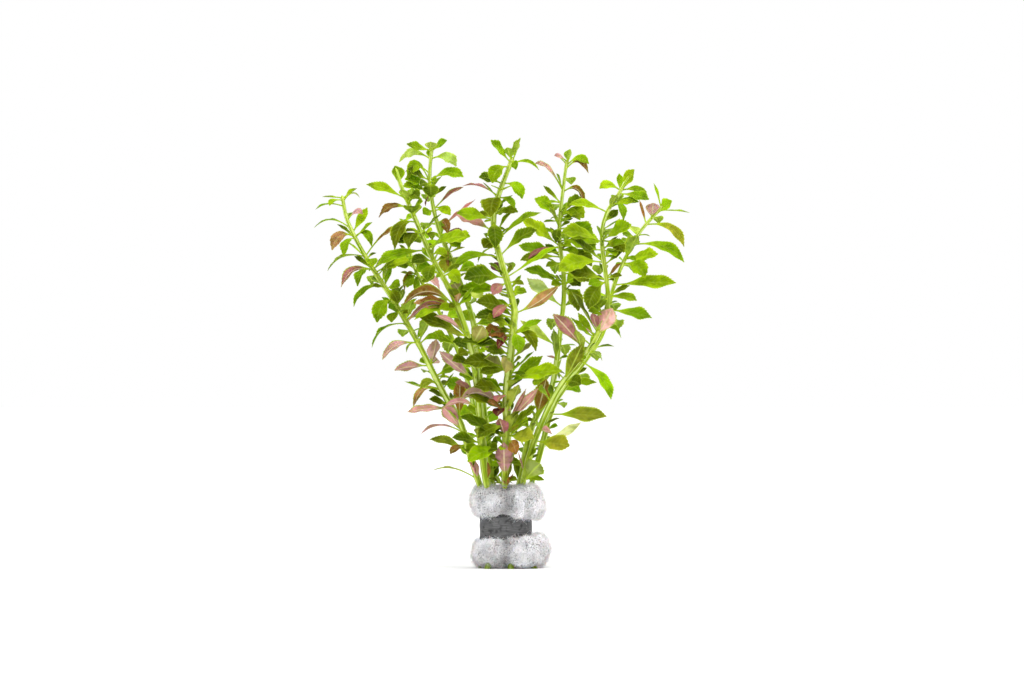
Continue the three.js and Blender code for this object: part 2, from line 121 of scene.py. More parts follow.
# Young leaves beside the larger ones
SHOOT_FROM_WIDTH = 3.2
SHOOT_COUNTS = (1, 1, 2)
SHOOT_LENGTHS = (4, 10)
SHOOT_TURNS = (40, 140)
SHOOT_RISES = (-0.2, 0.9)
SHOOT_OFFSET = 1.5
SHOOT_ARCHES = (0.3, 1.2)
SHOOT_WIDTHS = (0.18, 0.3)
SHOOT_FACES = (20, 50)
# the dark tone, taken twice as often, is partly painted shade for young leaves deep in the bunch
SHOOT_TONES = ("plain", "bright", "dark", "dark")
SAME_TONE_SHARE = 0.2
BARE_TIP = 14

# Wool collar: its waist is a circle about an upright line at WAIST_X. Its lumps start and are full
# at two distances out from the waist, and its top is hollow round the stems.
WAIST_X = -1
WAIST_RADIUS = 9.7
WOOL_TOP = 34.4
WOOL_DEPTH_RATIO = 0.9
WOOL_ROWS = 170
WOOL_STEPS = 220
LEAST_WOOL_RADIUS = 0.2
LOWEST_WOOL = 0.05
LUMPS_FROM_WAIST = (0.3, 3)
HOLLOW_RADIUS = 9
HOLLOW_HEIGHTS = (33, 30)
HOLLOW_LUMPS = 0.5

# Its fibres. Three numbers are the least, the likeliest and the most. The strip holds down those
# near the waist.
FIBRES = 8000
FIBRE_SEED = 11
FIBRE_RADII = (0.04, 0.1)
FIBRE_RINGS = 4
FIBRE_SIDES = 3
FIBRE_LENGTHS = (0.8, 2, 4)
FIBRE_RISES = (-5, 14, 80)
FIBRE_BEND = 0.5
FIBRE_SAG = 0.3
FIBRE_TAPER = 0.6
FIBRE_ROOT = 0.15
FIBRE_LIGHTS = (0.7, 1.0)
# how much lighter the fibres' painted shade is than the wool's
FIBRE_SHADE_LIFT = 0.1
OFF_LINE = 0.01
LOWEST_FIBRE = 0.1
HELD_OUTSIDE_WAIST = 1
HELD_BELOW_TOP = 4

# Lead strip. The place of a dent or a fray in its noise goes by how far round, how far up and a
# number of its own.
STRIP_INNER = 10
STRIP_THICKNESS = 1
STRIP_HEIGHT = 10
STRIP_MIDDLE = 16.9
STRIP_FRONT_BULGE = 0.8
STRIP_TURNS = 1.14
STRIP_START = 0.3 * math.pi
STRIP_LIFT_FROM = 0.82
STRIP_GAP = 0.3
STRIP_STEPS = 240
STRIP_DENT = 0.22
STRIP_FRAY = 0.18
EDGE_POWER = 6
DENT_NOISE = np.array([9, 1.5, 3.7])
FRAY_NOISE = np.array([40, 2.0, 8.1])

# Finishes: what each is painted with and what it mixes in, and the veins along a leaf
WOOL_TONE = (0.94, 0.935, 0.945)
FIBRE_TONE = (1.0, 0.985, 0.99)
LEAD_TONE = (0.34, 0.34, 0.343)
BLOTCH_TONE = (0.62, 0.66, 0.4)
PATCH_TONE = (0.66, 0.64, 0.30)
LEAF_TIP_TONE = (0.66, 0.62, 0.45)
LEAF_BASE_HIGHLIGHT_TONE = (0.68, 0.78, 0.14)
VEIN_TONE = (0.76, 0.80, 0.46)
RED_RIM_TONE = (0.78, 0.62, 0.52)
GREEN_RIM_HIGHLIGHT_TONE = (0.72, 0.82, 0.26)
GREEN_RIB_TONE = (0.72, 0.80, 0.30)
RED_RIB_TONE = (0.86, 0.80, 0.66)
PALE_STREAK_HIGHLIGHT_TONE = (0.88, 0.94, 0.60)
DARK_STREAK_SHADE_TONE = (0.42, 0.52, 0.03)
CUT_RIM_TONE = (0.30, 0.44, 0.08)
PITH_TONE = (0.55, 0.66, 0.25)
FLECK_SHADE_TONE = (0.46, 0.46, 0.46)
LEAD_STREAK_TONE = (0.47, 0.47, 0.47)
SCUFF_TONE = (0.2, 0.2, 0.2)
LEAD_EDGE_SHADE_TONE = (0.12, 0.12, 0.12)
VEINS = 9
VEIN_SLANT = 1.6

# Studio: lights as name, place in metres, size in metres and power in watts
FLOOR_REACH = 6
FLOOR_CORNERS = ((-1, -1), (1, -1), (1, 1), (-1, 1))
FLOOR_TONE = (0.91, 0.91, 0.91)
WORLD_LIGHT = 0.5
BAND_TOP = 0.07
BAND_END = 0.24
SUN_STRENGTH = 3.3
SUN_SPREAD = 70
SUN_TURN = (14, 10, 0)
SUN_PLACE = (0, 0, 2)
LIGHT_AIM = Vector((0, 0, 0.09))
LIGHTS = (
    ("key", (-1.1, -1.6, 1.3), 1.2, 18),
    ("rim", (1.3, 1.2, 1.0), 1.0, 10),
)

# What each stem's middle passes through, from the cut end up, with commas between the points. The
# first four points lie in the wool.
STEM_PATHS = {
    "stem_far_left": """
    -11.2 -2.5 0, -8.6 -2.4 7, -5.6 -1.9 17, -8.2 -2.7 27, -12.2 -4 36, -16 -6 48.5, -20.2 -8 61.5,
    -28 -11 75.5, -37.5 -14.5 94.5, -48 -17 112.5, -58.5 -18.5 129, -66.5 -18.5 144.5,
    -69.2 -18.5 156
    """,
    "stem_left_back": """
    -8.2 7.4 0, -7 4.6 7, -5.6 1.9 17, -7.4 3.6 27, -9.6 6.2 36, -12.6 13.5 58, -16.8 20.5 77,
    -22.3 25.5 93.5, -31.9 30.5 112.5, -39.5 34 126, -45 36.5 147
    """,
    "stem_left_front": """
    -8.6 -10.6 0, -6 -7.6 7, -2.9 -4.6 17, -6.4 -6.4 27, -9.2 -9 37, -11.2 -14.5 59, -14.7 -23 89.5,
    -21.8 -27 111.5, -32 -30.5 131, -37.8 -32.5 144.5, -44 -34 159, -46.6 -34 167
    """,
    "stem_left_centre": """
    -3.4 10.4 0, -3.2 7.4 7, -2.9 4.6 17, -4.8 5.4 27, -6.7 6.5 36, -8.4 8 52.5, -11.5 9 78,
    -14.7 7.5 103.5, -21.8 5 124.5, -29.4 2.5 143.5, -32.8 1 161.5, -31.9 0 177.5
    """,
    "stem_centre": """
    1.3 -12 0, 1.2 -8.2 7, 0.9 -4.6 17, -0.4 -6.4 27, -1.3 -9 36, -0.4 -13.5 59, -0.4 -17 75,
    2.4 -18.5 102, 2.1 -17 111.5, -5 -14.5 136.5, -5.9 -14.5 147.5, -3.8 -16 156.5, 2.1 -17 172
    """,
    "stem_right_back": """
    5 9.8 0, 3 7.2 7, 0.9 4.6 17, 2.6 5.8 27, 5 7.4 36, 10.1 12.5 59, 18.3 18 75, 21.8 24.5 96,
    23.9 29.5 119, 21.8 31.5 141, 23.9 33 163.5, 25.2 33 172.5
    """,
    "stem_right_front": """
    11.2 -7.4 0, 7.4 -4.8 7, 3.6 -1.9 17, 4.8 -3.8 27, 6.3 -6 36.5, 11.3 -10 54, 21 -16 75,
    34.4 -20.5 93, 39.5 -23 104, 41.6 -24.5 114, 39.1 -25.5 136.5, 40.7 -25.5 147.5, 45.8 -27 156,
    50.6 -28 164
    """,
    "stem_far_right": """
    12.6 2.6 0, 8 2.4 7, 3.6 1.9 17, 6.8 2.4 27, 10.1 3 36, 14 4.5 50, 18.1 7 65, 23 9.5 74.5,
    35.8 11 91.5, 41.2 12 102, 44.9 13.5 119, 54.2 14.5 139, 65.5 14.5 152.5
    """,
}

# The leaves of each stem, in the order in which they are made, with commas between them. A leaf is
# the height of its root, how far its tip lies across, back and up from there, how high it arches,
# its width, how far its shown face is turned to the front in degrees, and its tone. A turn below
# nought shows the underside. Where the turn or the tone is left out, it is the usual one.
USUAL_TURN = 50
USUAL_TONE = "plain"
ROW_NUMBERS = 7
LEAVES = {
    "stem_far_left": """
    155 6 2 4 0.5 3.5 10, 154 -5.5 -5 -2.5 2 3 10, 151.5 -12 -3 -1.5 3.5 1.6 10, 148 1 7 -1 2 3.2 0,
    142.5 -15.5 3 0 7 1.8 10, 141 6 3 10 0 3, 139 -9.5 -5 -6 6.2 3.6 copper, 138 -5 -8 -8 5 3.4 0,
    139 7 -4 -4.5 7 2.6, 130.5 -16 3 -6 6 3.2 10, 131 17 3 10 9 2.8 -30 brown, 129 2 -9 -3 3 4 0,
    125 -13.5 -3 -7.5 7 3.2 -50 rose, 125 -6.5 -8 -7 5 3.8 0, 124 14 -2 5 2 5 bright,
    122 -3 9 -3 3 3.6 0, 118.5 -12.5 2 -9 5 2.8, 118 2 6 10 0 3 0, 117 6 -7 1 2 4,
    112.5 -6.5 -4 -9.5 4 4.8, 108 3 9 -3 4 4 0, 104 3 -6 8 1 5 0 bright, 102.5 -14.5 -3 -10 6.2 3 10,
    99 -4 9 -2 3 4.5 0, 94.5 -14.8 -3 -7 5 3.4 -50 pink, 94.5 5 -6 10.5 2 4.4 0 dark,
    94 8.5 -4 2 4 2.6, 85 -14.5 -4 -2 1.4 4 -50 pink, 85 3 -4 11 0 4.6 0 blush, 80 -5 9 2 3 4.5 0,
    75 -15.5 -4 3.5 -1 3.2 10, 75 -12 3 -8 8 2.2 -50 copper, 67 -19 -3 -1.5 1.5 3.2 -50 pink,
    60 -6 8 3 3 4 0, 57 -8.5 -6 11 2 4.6 -50 pink, 57 -18 2 -1 7 3 10 pink, 48 -17 3 6 4 3.2 olive,
    37.5 -19 -3 3.5 5.5 1.8 10 grey, 155 -8.5 2 0.5 0.5 1.8 10, 146 6.5 -5 2 4 2.5 pink,
    118.5 -5 7 4 1 3 pale, 104 12 3 2 3 2.6 pale, 76 -8.5 -7 -1 6 2.6 olive, 71 -7.5 -6 3.5 1 3 dark,
    52 -7 -3 -4 1 2.5 brown, 37 -4 -6 7.5 3 2.2 pink, 154 7 -2 1 5 1.2 10 grey,
    94.5 -5 6 -4 3 1.4 10, 85 -4 4 3 1 2.5, 78 3 -5 2 3 2, 75 5 3 7 0 1.2 10, 120 3 -3 8.5 0 2.2 0,
    117 5 -6 -6 1 3.4 dark, 62 0.5 -6 17.5 0 3.8 0 brown, 110 3 -5 7 0 3 0 dark, 108 -3 -5 -5 1 4 0,
    69 -8.5 -4 2 0 3.4 dark, 37 -1 -5 8 0 1.6 0 pink, 107 -5 -6 2 1 4.4
    """,
    "stem_left_back": """
    146 5 2 3 1 3 30, 138 9 -2 1 3 4, 130 0 10 -3 4 5 0, 130 -2 -8 -1 3 5 0, 122 6 -7 0 1 6.5 dark,
    122 8 5 -5 3 4 pink, 124 -5.5 -5 -7.5 5 4.6 -50 brown, 113 3 11 -4 4 5.5 0, 104 8 4 2 3 5,
    104 -9 6 -2 3 3.8, 94 -3 12 -4 4 4.4 0, 94 -10 -4 3 2 5, 84 -9 8 -2 4 5.5, 84 7 8 0 3 5,
    74 -2 12 -3 4 5.5 0, 74 -10 3 3 2 5, 64 -9 7 0 3 5, 64 5 8 2 3 5 0, 54 -3 10 0 3 5 0,
    46 -9 4 4 2 4.5, 42 1 9 5 1 4.5 0, 145 0 5 2 1.5 3, 126 -5 5 1 2 1.2 10, 126 6 4 0 2 1.2 10,
    125 3 -6 1 2 1.2 10, 123 -1.5 -6 -7 2 2.6, 128 -7 -5 -1 1 4 dark, 124 -4.5 -6 -6 1 3.4
    """,
    "stem_left_front": """
    160 -2.5 1 8 0 6 20, 154.5 -16.5 -3 5.5 2 3.8, 152 -3 -6 6 0.5 3.5 0, 150 0.5 -9 -2 3 5.6 0 dark,
    150.5 -13.2 4 -4 5 3.2 brown, 144.5 -9 -5 -11.5 8 4.4 35 dark, 140 -5 -8 -6 4 5 0 dark,
    140 4.5 -7 -3 3 3.5 0 dark, 133 -21 -4 -6 2.5 4.4, 131 7 4 -1 3 4, 122 -10 -7 2 4 5,
    122 7 -7 -3 5 4, 109 -22.5 -5 1 13 4.6 -50 brown, 108 -20.5 -8 -4.5 9 3.2 -50 rose,
    110 6 -7 2 3 4.5, 97 -19.5 -8 8 2 5.8 dark, 97 -8 -6 2 1 3.4 olive, 92 3 7 8 1 6 -50 khaki,
    84 -9 -7 3 3 4.2 dark, 84 4 4 4 2 5 0, 79 -15 -5 12 0 4.2 -50 pink,
    67 -14.5 -6 0.5 6 2.8 -50 pink, 52.5 -12.5 -6 2.5 1 4.6 dark, 53 -1 -7 6 1 4.5 0 olive,
    50 -6.5 -2 -1.5 2 5, 50 6 -5 0 1 4 dark, 35.5 -0.5 -3 10 0 3 30 brown, 128 -9.5 -6 -0.5 3 4 dark,
    127.5 -3 -8 -7.5 2 4.6 0 dark, 108 -18 -9 -4 5 2.6 bright, 97 -13.5 -10 8.5 5 1.8 -50 pink,
    134 16 -7 4.5 3 5 bright, 152 1.5 -6 6.5 0 3.4 0, 147 0.5 -7 4 1 4.4 0 dark, 150 5 -6 3 0 4.5,
    156 6 -6 -2 2 4 dark, 118 3 -6 -5 1 4 0 dark, 110 -15 -5 2 1 3.6 brown,
    109 -18 -5 2 1 4.4 copper, 74 -9 -6 4 1 3 rose, 138 -11.5 -6 -2 1.5 4 dark,
    137.5 -4.5 -7 -1 1 3.6 dark, 108.5 -7.5 -7 0 1 3.4, 93 5.5 -6 8.5 0.5 5.6 -50 khaki,
    90.5 -5.5 -7 -1 1 3.6 dark
    """,
    "stem_left_centre": """
    175.5 -10.5 -2 2.5 -0.5 3.6, 175.5 6.5 -2 4 0.5 3.8, 172 10.5 -3 -3.5 4.5 4 pale,
    163 14 -3 1 5 4.2, 163 -9.5 -5 0 12 4, 162 0.5 -6 -6.5 1 5 0 dark, 156 -2 9 -2 3 4.5 0,
    151 12 3 9 3 2.4 -40 rose, 143 15.5 5 12 0 2.6 10 rose, 144 -6 8 -2 3 4.5 0,
    137 -5 -9 -3 3 6.5 0 bright, 136 10.5 -6 3 2 5 bright, 130 2 9 -3 3 5 0, 124 -3 -8 6 1 4 0,
    124 8 4 2 3 4, 116 8 -5 -3 2 4 pale, 114 -5.5 -5 7 0 4 -50 tan, 103 -6 7 3 2 4.5, 102 8 -5 1 2 4,
    91 -10 -6 4 1 5 dark, 90 7 5 4 2 4.5, 78 -9 -6 3 2 5, 76 5 -6 5 1 4, 62 -8 -4 5 2 4,
    172 -13.5 3 -1.5 6 3.4 pale, 161 -4 -8 -1 2 3 dark, 150 6.5 -6 -2 3 3, 156 -3 5 -4 2 2 maroon,
    145 4.5 -6 -5 5 3 brown, 134 0.5 -5 -9 3 1.4 brown, 140 11 5 -1 3 3 purple, 60 4 5 5 1 4,
    172 -1 1 4 0 2, 166 -11 2 0 6 1.4 10 purple, 35 2.5 2 9.5 0 4.2 0 dark, 48 5 3 8 0 4.4 0 dark,
    40 6 -2 6 1 2.4 30 olive, 175 -0.5 -2 4 0 4.2 0 pale, 163 -9.5 -6 4.5 0 4.6 dark,
    132 -1.5 -5 -8 1 4.4 0 olive, 161 -10.5 -6 2 1 4.6, 138 7 -4 -3.5 1 3.6, 158 -12 -7 2 2 3.6,
    150 -5 -6 -1.5 0.5 3.4, 111 4 -5 1 1 3.4 pale
    """,
    "stem_centre": """
    171 3.5 -2 9 0 4.6 0, 170 -8.5 -3 9 0.5 4.2, 168 -7 -4 -7 4 4.5, 161 -10 -2 2.5 1.5 4.4 dark,
    161 8 -3 -6.5 4 3.8, 158 1 -9 0 1.5 6.5 0, 155 -3 -8 -8 5 6.5 0 dark,
    156 -15 3 4 4.4 2.6 10 rose, 150 2 9 -2 3 4.5 0, 146 -15.5 -4 2.5 1 5,
    141 -16 3 6.8 2.5 4.6 pink, 148 10 -4 1 2.5 3.2 dark, 145 0.5 -7 -11 3 4.8 0 dark,
    137 19 7 12 5.2 3 30, 131 15.5 -4 10.5 4 5 dark, 130 -20 -3 -5 6.8 3.2, 127 4 9 -2 3 3.6 0,
    121.5 -17.5 -6 -0.5 2.5 7.4 dark, 122 22 -3 13 1 3.2 30, 119.5 -6 -5 -5 1 3.6 rose,
    115 -22 -4 1.5 3 4.6, 112 -4 9 2 3 4.5 0, 107.5 -15.5 -5 4 2 5.6 dark,
    107 19 -5 11.5 -2 4 -50 copper, 105 -16 -8 0 2 4.6 dark, 99 9.5 -4 -8 6 3.4 dark,
    99 2.5 -7 -9 3 4.2 0, 95 -3 9 0 3 4.5 0, 89 -11 -4 4 3 2.6 -50 pink,
    82 -10.5 -6 6.5 1 4.6 -50 khaki, 82 10.5 -3 9 0 2.2 25, 79 14.5 4 10 0 4, 78.5 22.5 -4 4.5 2 5.8,
    74 -13.5 -9 2 2 5 dark, 70 3 8 2 2 4.5 0, 66 5 -5 11 0.5 5 0 olive, 66 -18 -11 7.5 2 5.5 dark,
    65 -19 -12 6 11 5.2 -50 blush, 62 13 -4 13.5 0 3.2 -50 pink, 58 12.5 -9 10 0.5 5 dark,
    55.5 11 -9 -1 1.5 5.5 olive, 54.5 -19.5 -11 9.5 2 4.8 dark, 37 -0.5 -8.5 16 0 5.4 0 pink,
    170 2 -5 -3.5 2 2.6, 169 12 -2 -2.5 5 1.5, 155 7 -5 -4.5 3 2.2, 123 -6 4 4.5 1 3 purple,
    116 7 -4 -0.5 0.5 2.8, 99 12 3 5 1 2.4, 98 -6 -8 -6 3 2.6 maroon, 88 -2 -8 -6 3 5 khaki,
    73 -10 3 7 0 3.6, 54 4 -8 -6 2 4 brown, 138 6 3 5 1 1.2 10, 135 -8 4 -7 2 1.8 10,
    117 5 4 6 0 1.2, 37 2 -3 10 0 2.6 olive, 50 -16 -9 -5 3 5, 92 -21 -10 3 3 5.5 dark,
    84 -19 -11 2 3 5.5 dark, 62 8 -5 13.5 -1 1.4 -50 rose, 60 -12 -8 -5 2 4 dark,
    44 -7 -6 3 1 3.4 dark, 36 3 2 9 0 3.6 0 olive, 133 -6 -3 7 0 2.4 30, 171 -2 -3 5 0 4 0,
    140 7 -4 9 2 3 40, 101 -11 -8 3 2 6 dark, 97 -9 -8 0 1 6 dark, 90 -10 -9 1 1 4 dark,
    83 -12 -10 -1 1.5 4 dark, 76 4.5 -6 3 0.5 5 0 olive, 68 -4 -7 -4 1 4 0 maroon,
    34.5 -4.5 0 4.5 0 4.4 0 dark, 34.5 4 0 4.5 0 4.6 0 dark, 99 -12 -8 -1 1.5 5 brown,
    55 -3 -5 8 0 4.4 0 rose, 56 4 -5 10 0 4.6 0 olive, 137 -5 -5 -3 1 4.4 dark,
    73 -4 -8 -3 1 4 0 rose, 111 -8 -8 -6 1 3 rose, 66 -8 -12 4 1 3.6 brown, 77 6 -5 3 0.5 3,
    57 5 -6 3 0 3 olive, 34 3.5 -4 6 0 3.4 30 brown, 43 5 -4 7 0 2.6 30 olive
    """,
    "stem_right_back": """
    171 1.5 -1 6 0 4.4 0, 172 -5.5 -3 2 1.5 2 pink, 164 3 7 -2 3 4 0, 160 -12.5 2 10.5 8 2 -50 pink,
    159 9 -3 -6 8 2.8 -50 brown, 153 -4 9 -3 3 4.8 0, 147 -11 3 9 3 4.4, 149.5 8.5 -4 6.5 2 5 dark,
    146 7 -7 3.5 1 4.6, 143 -1.5 -7 -6 3 3.2 0 dark, 141 3 11 -3 4 5 0,
    136 -16.5 -4 10.5 1.8 6 bright, 135 -14 -5 -5 3 1.6 rose, 133 -18 3 3 -1 5, 134 7 -5 -3 3 2.8,
    128 -3 12 -4 4 4 0, 119 -17 -4 6.5 3 4.2, 119 6 5 4 2 4.5, 116 4 11 -3 4 5.5 0,
    110 -15 4 12 0 4.6 faded, 104 -4 12 -4 4 4.2 0, 93 -16 4 11 0 3.6 pale, 93 3 12 -4 4 4.2 0,
    86.5 -1 -4 14 0 3.5 30 dark, 82 -3 12 -3 4 5.5 0, 75 -8 5 3 3 4.5, 70 4 11 -2 3 5 0,
    62 4.5 -4 17.5 0 5.4 -50 brown, 58 -6 6 4 2 4.5, 58 5 9 1 3 5 0, 47 -3 9 3 2 5 0,
    170.5 9.5 -2 0 5 3, 169 9.5 -3 -2.5 8 2 brown, 160 -3 -3 6.5 1 3, 171 -5 1 4 1 0.9 10,
    147 -4.5 0 0 2 0.9 10, 127 -8 3 4 1 1.2 10, 93 7.5 -3 0.5 1 1 10, 83 2 -2 -4 1 1 10,
    36 -3 2 11 0 4.4 0 dark, 50 -6 2 8 1 4.2 0 dark, 138 15 -6 -4 3 6.4, 134 13 -6 -7 3 4.6 dark,
    118 6 -6 -10 3 4.6 dark, 146 4 -6 0.5 1 4.4 0, 124 11 -6 -3.5 2 5 dark, 88 -4 -3 1 0 2.4 0 pink,
    120 7 -5 -1.5 2 3.6 dark, 143 14 -5 -2 2.5 5.4, 148 8 -7 -1.5 2 4.4 0,
    131 -17.5 -5 -1.5 2 4 dark, 150 9.5 -6 -2.5 3 5, 140 16.5 -6 -3 2 5, 136 4.5 -6 0 0.5 3.2,
    119.5 -5.5 -5 -0.5 0.5 3, 80 3.5 -4 8 0 2.6 30
    """,
    "stem_right_front": """
    158 5.5 -2 8.5 0 5.8 bright, 158 -9 -2 0.5 3.5 3.6 bright, 156.5 12.4 -4 -2.5 0.8 3.6,
    158 11 3 -2.5 3 3.2, 155 0.5 7 -2 3 4 0, 151 11.5 -3 2 2.5 3.2, 152 4.5 -6 -7 6 3.2 0,
    150 3 -4 6 0 3 0 dark, 145 5.5 4 5 0 2.6 dark, 149 -16 -4 3 3 3.2 bright, 141 3 9 -2 3 4.5 0,
    136.5 -17 -5 3.5 4 5.2, 137.5 12 -5 6 1 6, 130 5 -7 3.5 1 3.6 0,
    128.5 -12.5 -3 9 0.5 4.4 40 dark, 128 -19 -8 -4 4 6 bright, 126 -2 9 -3 3 5 0,
    121 -17 -5 4 1 6.5 dark, 120 -7.5 -7 -11.5 2 5.2 dark, 113.5 12 -3 -1.5 2 3.4, 110 4 9 -2 3 5 0,
    99 -11 -6 17 1 4.8 40 dark, 97 7 -6 12 0 6 -50 blush, 99 -2 -6 8 0.5 2.8 0 rose,
    91 -14 -6 15.5 2 5 -50 rose, 90 5 9 -3 3 4.5 0, 77 8.5 -7 17 0 4.9 -50 olive,
    78 7 -7 -1 2 5 dark, 87 13 -3 -16 1.5 3.6, 70 -6 -7 5 2 4.5, 58 5 -6 -1 1 4 -50 pink,
    53.5 14.5 -6 -2 0 6.5 olive, 36.5 7.2 -6 7.5 1.5 6.6 -50 grey, 134 9 -8 2 1 3.2,
    122 6.2 -4 5.5 0 2.8 brown, 99 10 4 -2.5 7 2.4, 97 -7 4 10 0 2.4, 77 14.5 4 1 1 2.8,
    45 3 -6 4 1 4, 123 -2.5 2 5 0 1.5 10, 91 6.5 6 -4 2 2 pale, 38 4 -4 13 0 1.4 olive,
    40 -3 -3 9 0 1.4 30 pink, 90 -4 -5 10 0 3.6 0 olive, 113 -3 -7 -4 1 4 0 dark,
    133 5 -7 -2.5 1 4 0, 158 -0.8 1 7 0 2.6 10, 152.5 9 -4 0.5 0.5 2.4, 137 9 -6 -5 2 4 dark,
    97 -10 -6 8 -2 3.4, 106 -6.5 -6 1.5 1 3.4, 119.5 -7.5 -6 -1 1 3.6
    """,
    "stem_far_right": """
    149.5 6.3 -2 5 0 5.6 bright, 150.5 13 1 -1 1 1.4 10, 152 -3.5 2 10 1.5 1.4 10,
    147 0.5 -5 6.5 0.5 4.4 0 pink, 147 3 8 -2 3 4 0, 144.5 15.5 -3 -9.5 6.5 3.4 olive,
    140 -2.5 5 4 0 4 0 pale, 138 -3 10 -3 3 5 0, 136 21.5 -3 -7.5 6 4, 130 13.3 -4 2 0 5 bright,
    129 5 -6 11 1 6 0, 128 8.5 -7 -6 4 5, 127 5 11 -3 4 5.5 0, 119 26 -3 0.8 1.2 5.2,
    114 -4 10 -3 4 5 0, 108.5 18 -3 -3.5 0.5 4.6, 103 5 10 -3 4 5.5 0, 92 -2 11 -3 3 5 0 dark,
    80 5 10 -3 4 5.5 0, 74 8 6 0 3 4.5, 68 4 9 -1 3 3.8 0, 64.5 23.5 -2 -1 0.5 6 olive,
    53 16 5 8 -1.5 3 faded, 52 5 8 2 3 5 0, 140 5 -2 -0.5 1 0.8 10, 145 -3.6 4 10 0 1.1 10 brown,
    57.5 5 -3 2 1.5 2, 139 -6 -5 1.5 0.5 3.4
    """,
}

# The colour of a leaf's shown side
TONES = {
    "plain": (0.49, 0.61, 0.0),
    "bright": (0.60, 0.72, 0.03),
    # dark: partly the leaf's own darker green and partly painted shade for leaves deep in the bunch
    "dark": (0.355, 0.42, 0.0),
    "pale": (0.72, 0.80, 0.36),
    # pale as if lit through from behind: painted light
    "faded": (0.95, 0.98, 0.70),
    "olive": (0.55, 0.56, 0.13),
    "pink": (0.79, 0.56, 0.59),
    "blush": (0.88, 0.66, 0.67),
    "rose": (0.70, 0.42, 0.45),
    "copper": (0.69, 0.49, 0.34),
    "brown": (0.56, 0.36, 0.16),
    "maroon": (0.44, 0.13, 0.19),
    "purple": (0.48, 0.25, 0.38),
    "khaki": (0.64, 0.61, 0.34),
    "tan": (0.70, 0.60, 0.42),
    "grey": (0.64, 0.69, 0.36),
}
STALK_TONE = (0.60, 0.70, 0.10)
UNDERSIDE_TONE = (0.66, 0.74, 0.30)
STEM_TONE = (0.60, 0.70, 0.07)
NODE_TONE = (0.74, 0.80, 0.34)
CUT_TONE = (0.38, 0.45, 0.10)
GREENS = ("plain", "bright", "dark", "pale", "faded", "olive", "grey")

# How much stouter than the standard each stem is above the wool, as a share of its radius, and
# between which heights it grows to that
STOUTNESS = {
    "stem_far_left": 1.25, "stem_left_back": 1.1, "stem_left_front": 1.35,
    "stem_left_centre": 1.2, "stem_centre": 1.55, "stem_right_back": 1.15,
    "stem_right_front": 1.25, "stem_far_right": 1.15,
}
STOUT_FROM = (33, 48)

# Outlines of the wool, as [distance from the waist's line, height], on the left and on the right:
# the underside, a lower roll, the waist, an upper roll and a hollow round the stems
WOOL_LEFT = [
    (0, 0.6), (6, 0.4), (9.6, 0.2), (12.6, 2), (14.3, 6.2), (13.4, 9.8), (12.2, 11.2),
    (WAIST_RADIUS, 11.6), (WAIST_RADIUS, 22), (12.2, 22.3), (13.6, 23.8), (15, 28), (13.8, 32.4),
    (10.8, 34.3), (7.6, 33.6), (4, 31.6), (0, 31),
]
WOOL_RIGHT = [
    (0, 0.6), (8, 0.4), (13, 0.2), (16.6, 2.4), (18.8, 7.6), (17.4, 12.4), (14.4, 14.2),
    (WAIST_RADIUS, 12.6), (WAIST_RADIUS, 22), (12.4, 21), (14.4, 21), (16.7, 24.8), (15.4, 31.2),
    (11.6, 34.8), (7.8, 34.2), (4, 31.8), (0, 31),
]
GROOVE_DEPTH = 2.2
GROOVE_HALF_ANGLE = 0.36

# The wool's lumps, as how fine they are and how high, and the shade painted into its colour: in its
# hollows, down its front, under the lowest leaves, on its left and at its foot
LUMPS = ((0.22, 0.7), (0.55, 0.3), (1.3, 0.16))
MIDDLE_SHADE = 0.85
LUMP_SHADE = 0.5
LUMP_SHADE_ENDS = (-0.9, 0.4)
VALLEY_AT = -0.6
VALLEY_REACH = 2.8
VALLEY_SHADE = 0.5
LEAF_SHADE = 0.3
LEAF_SHADE_BELOW_TOP = 3
LEAF_SHADE_SIDES = (10, 4)
LEFT_SHADE = 0.08
LEFT_SHADE_SIDES = (0, -8)
FOOT_AT = -2.5
FOOT_REACH = 5
FOOT_HEIGHTS = (6, 0.5)
FOOT_SHADE = 0.45


def linear(colour):
    """A colour given as it looks on a screen, in the values that shaders use."""
    return np.array([c / 12.92 if c <= 0.04045 else ((c + 0.055) / 1.055) ** 2.4 for c in colour])


def smooth(value, low, high):
    """0 below low, 1 above high and a smooth step between them."""
    t = np.clip((value - low) / (high - low), 0, 1)
    return t * t * (3 - 2 * t)


def unit(vectors):
    return vectors / np.linalg.norm(vectors, axis=-1, keepdims=True)


def ring_angles(count):
    return np.arange(count) * FULL_TURN / count


def add_object(name, data):
    made = bpy.data.objects.new(name, data)
    bpy.context.scene.collection.objects.link(made)
    return made


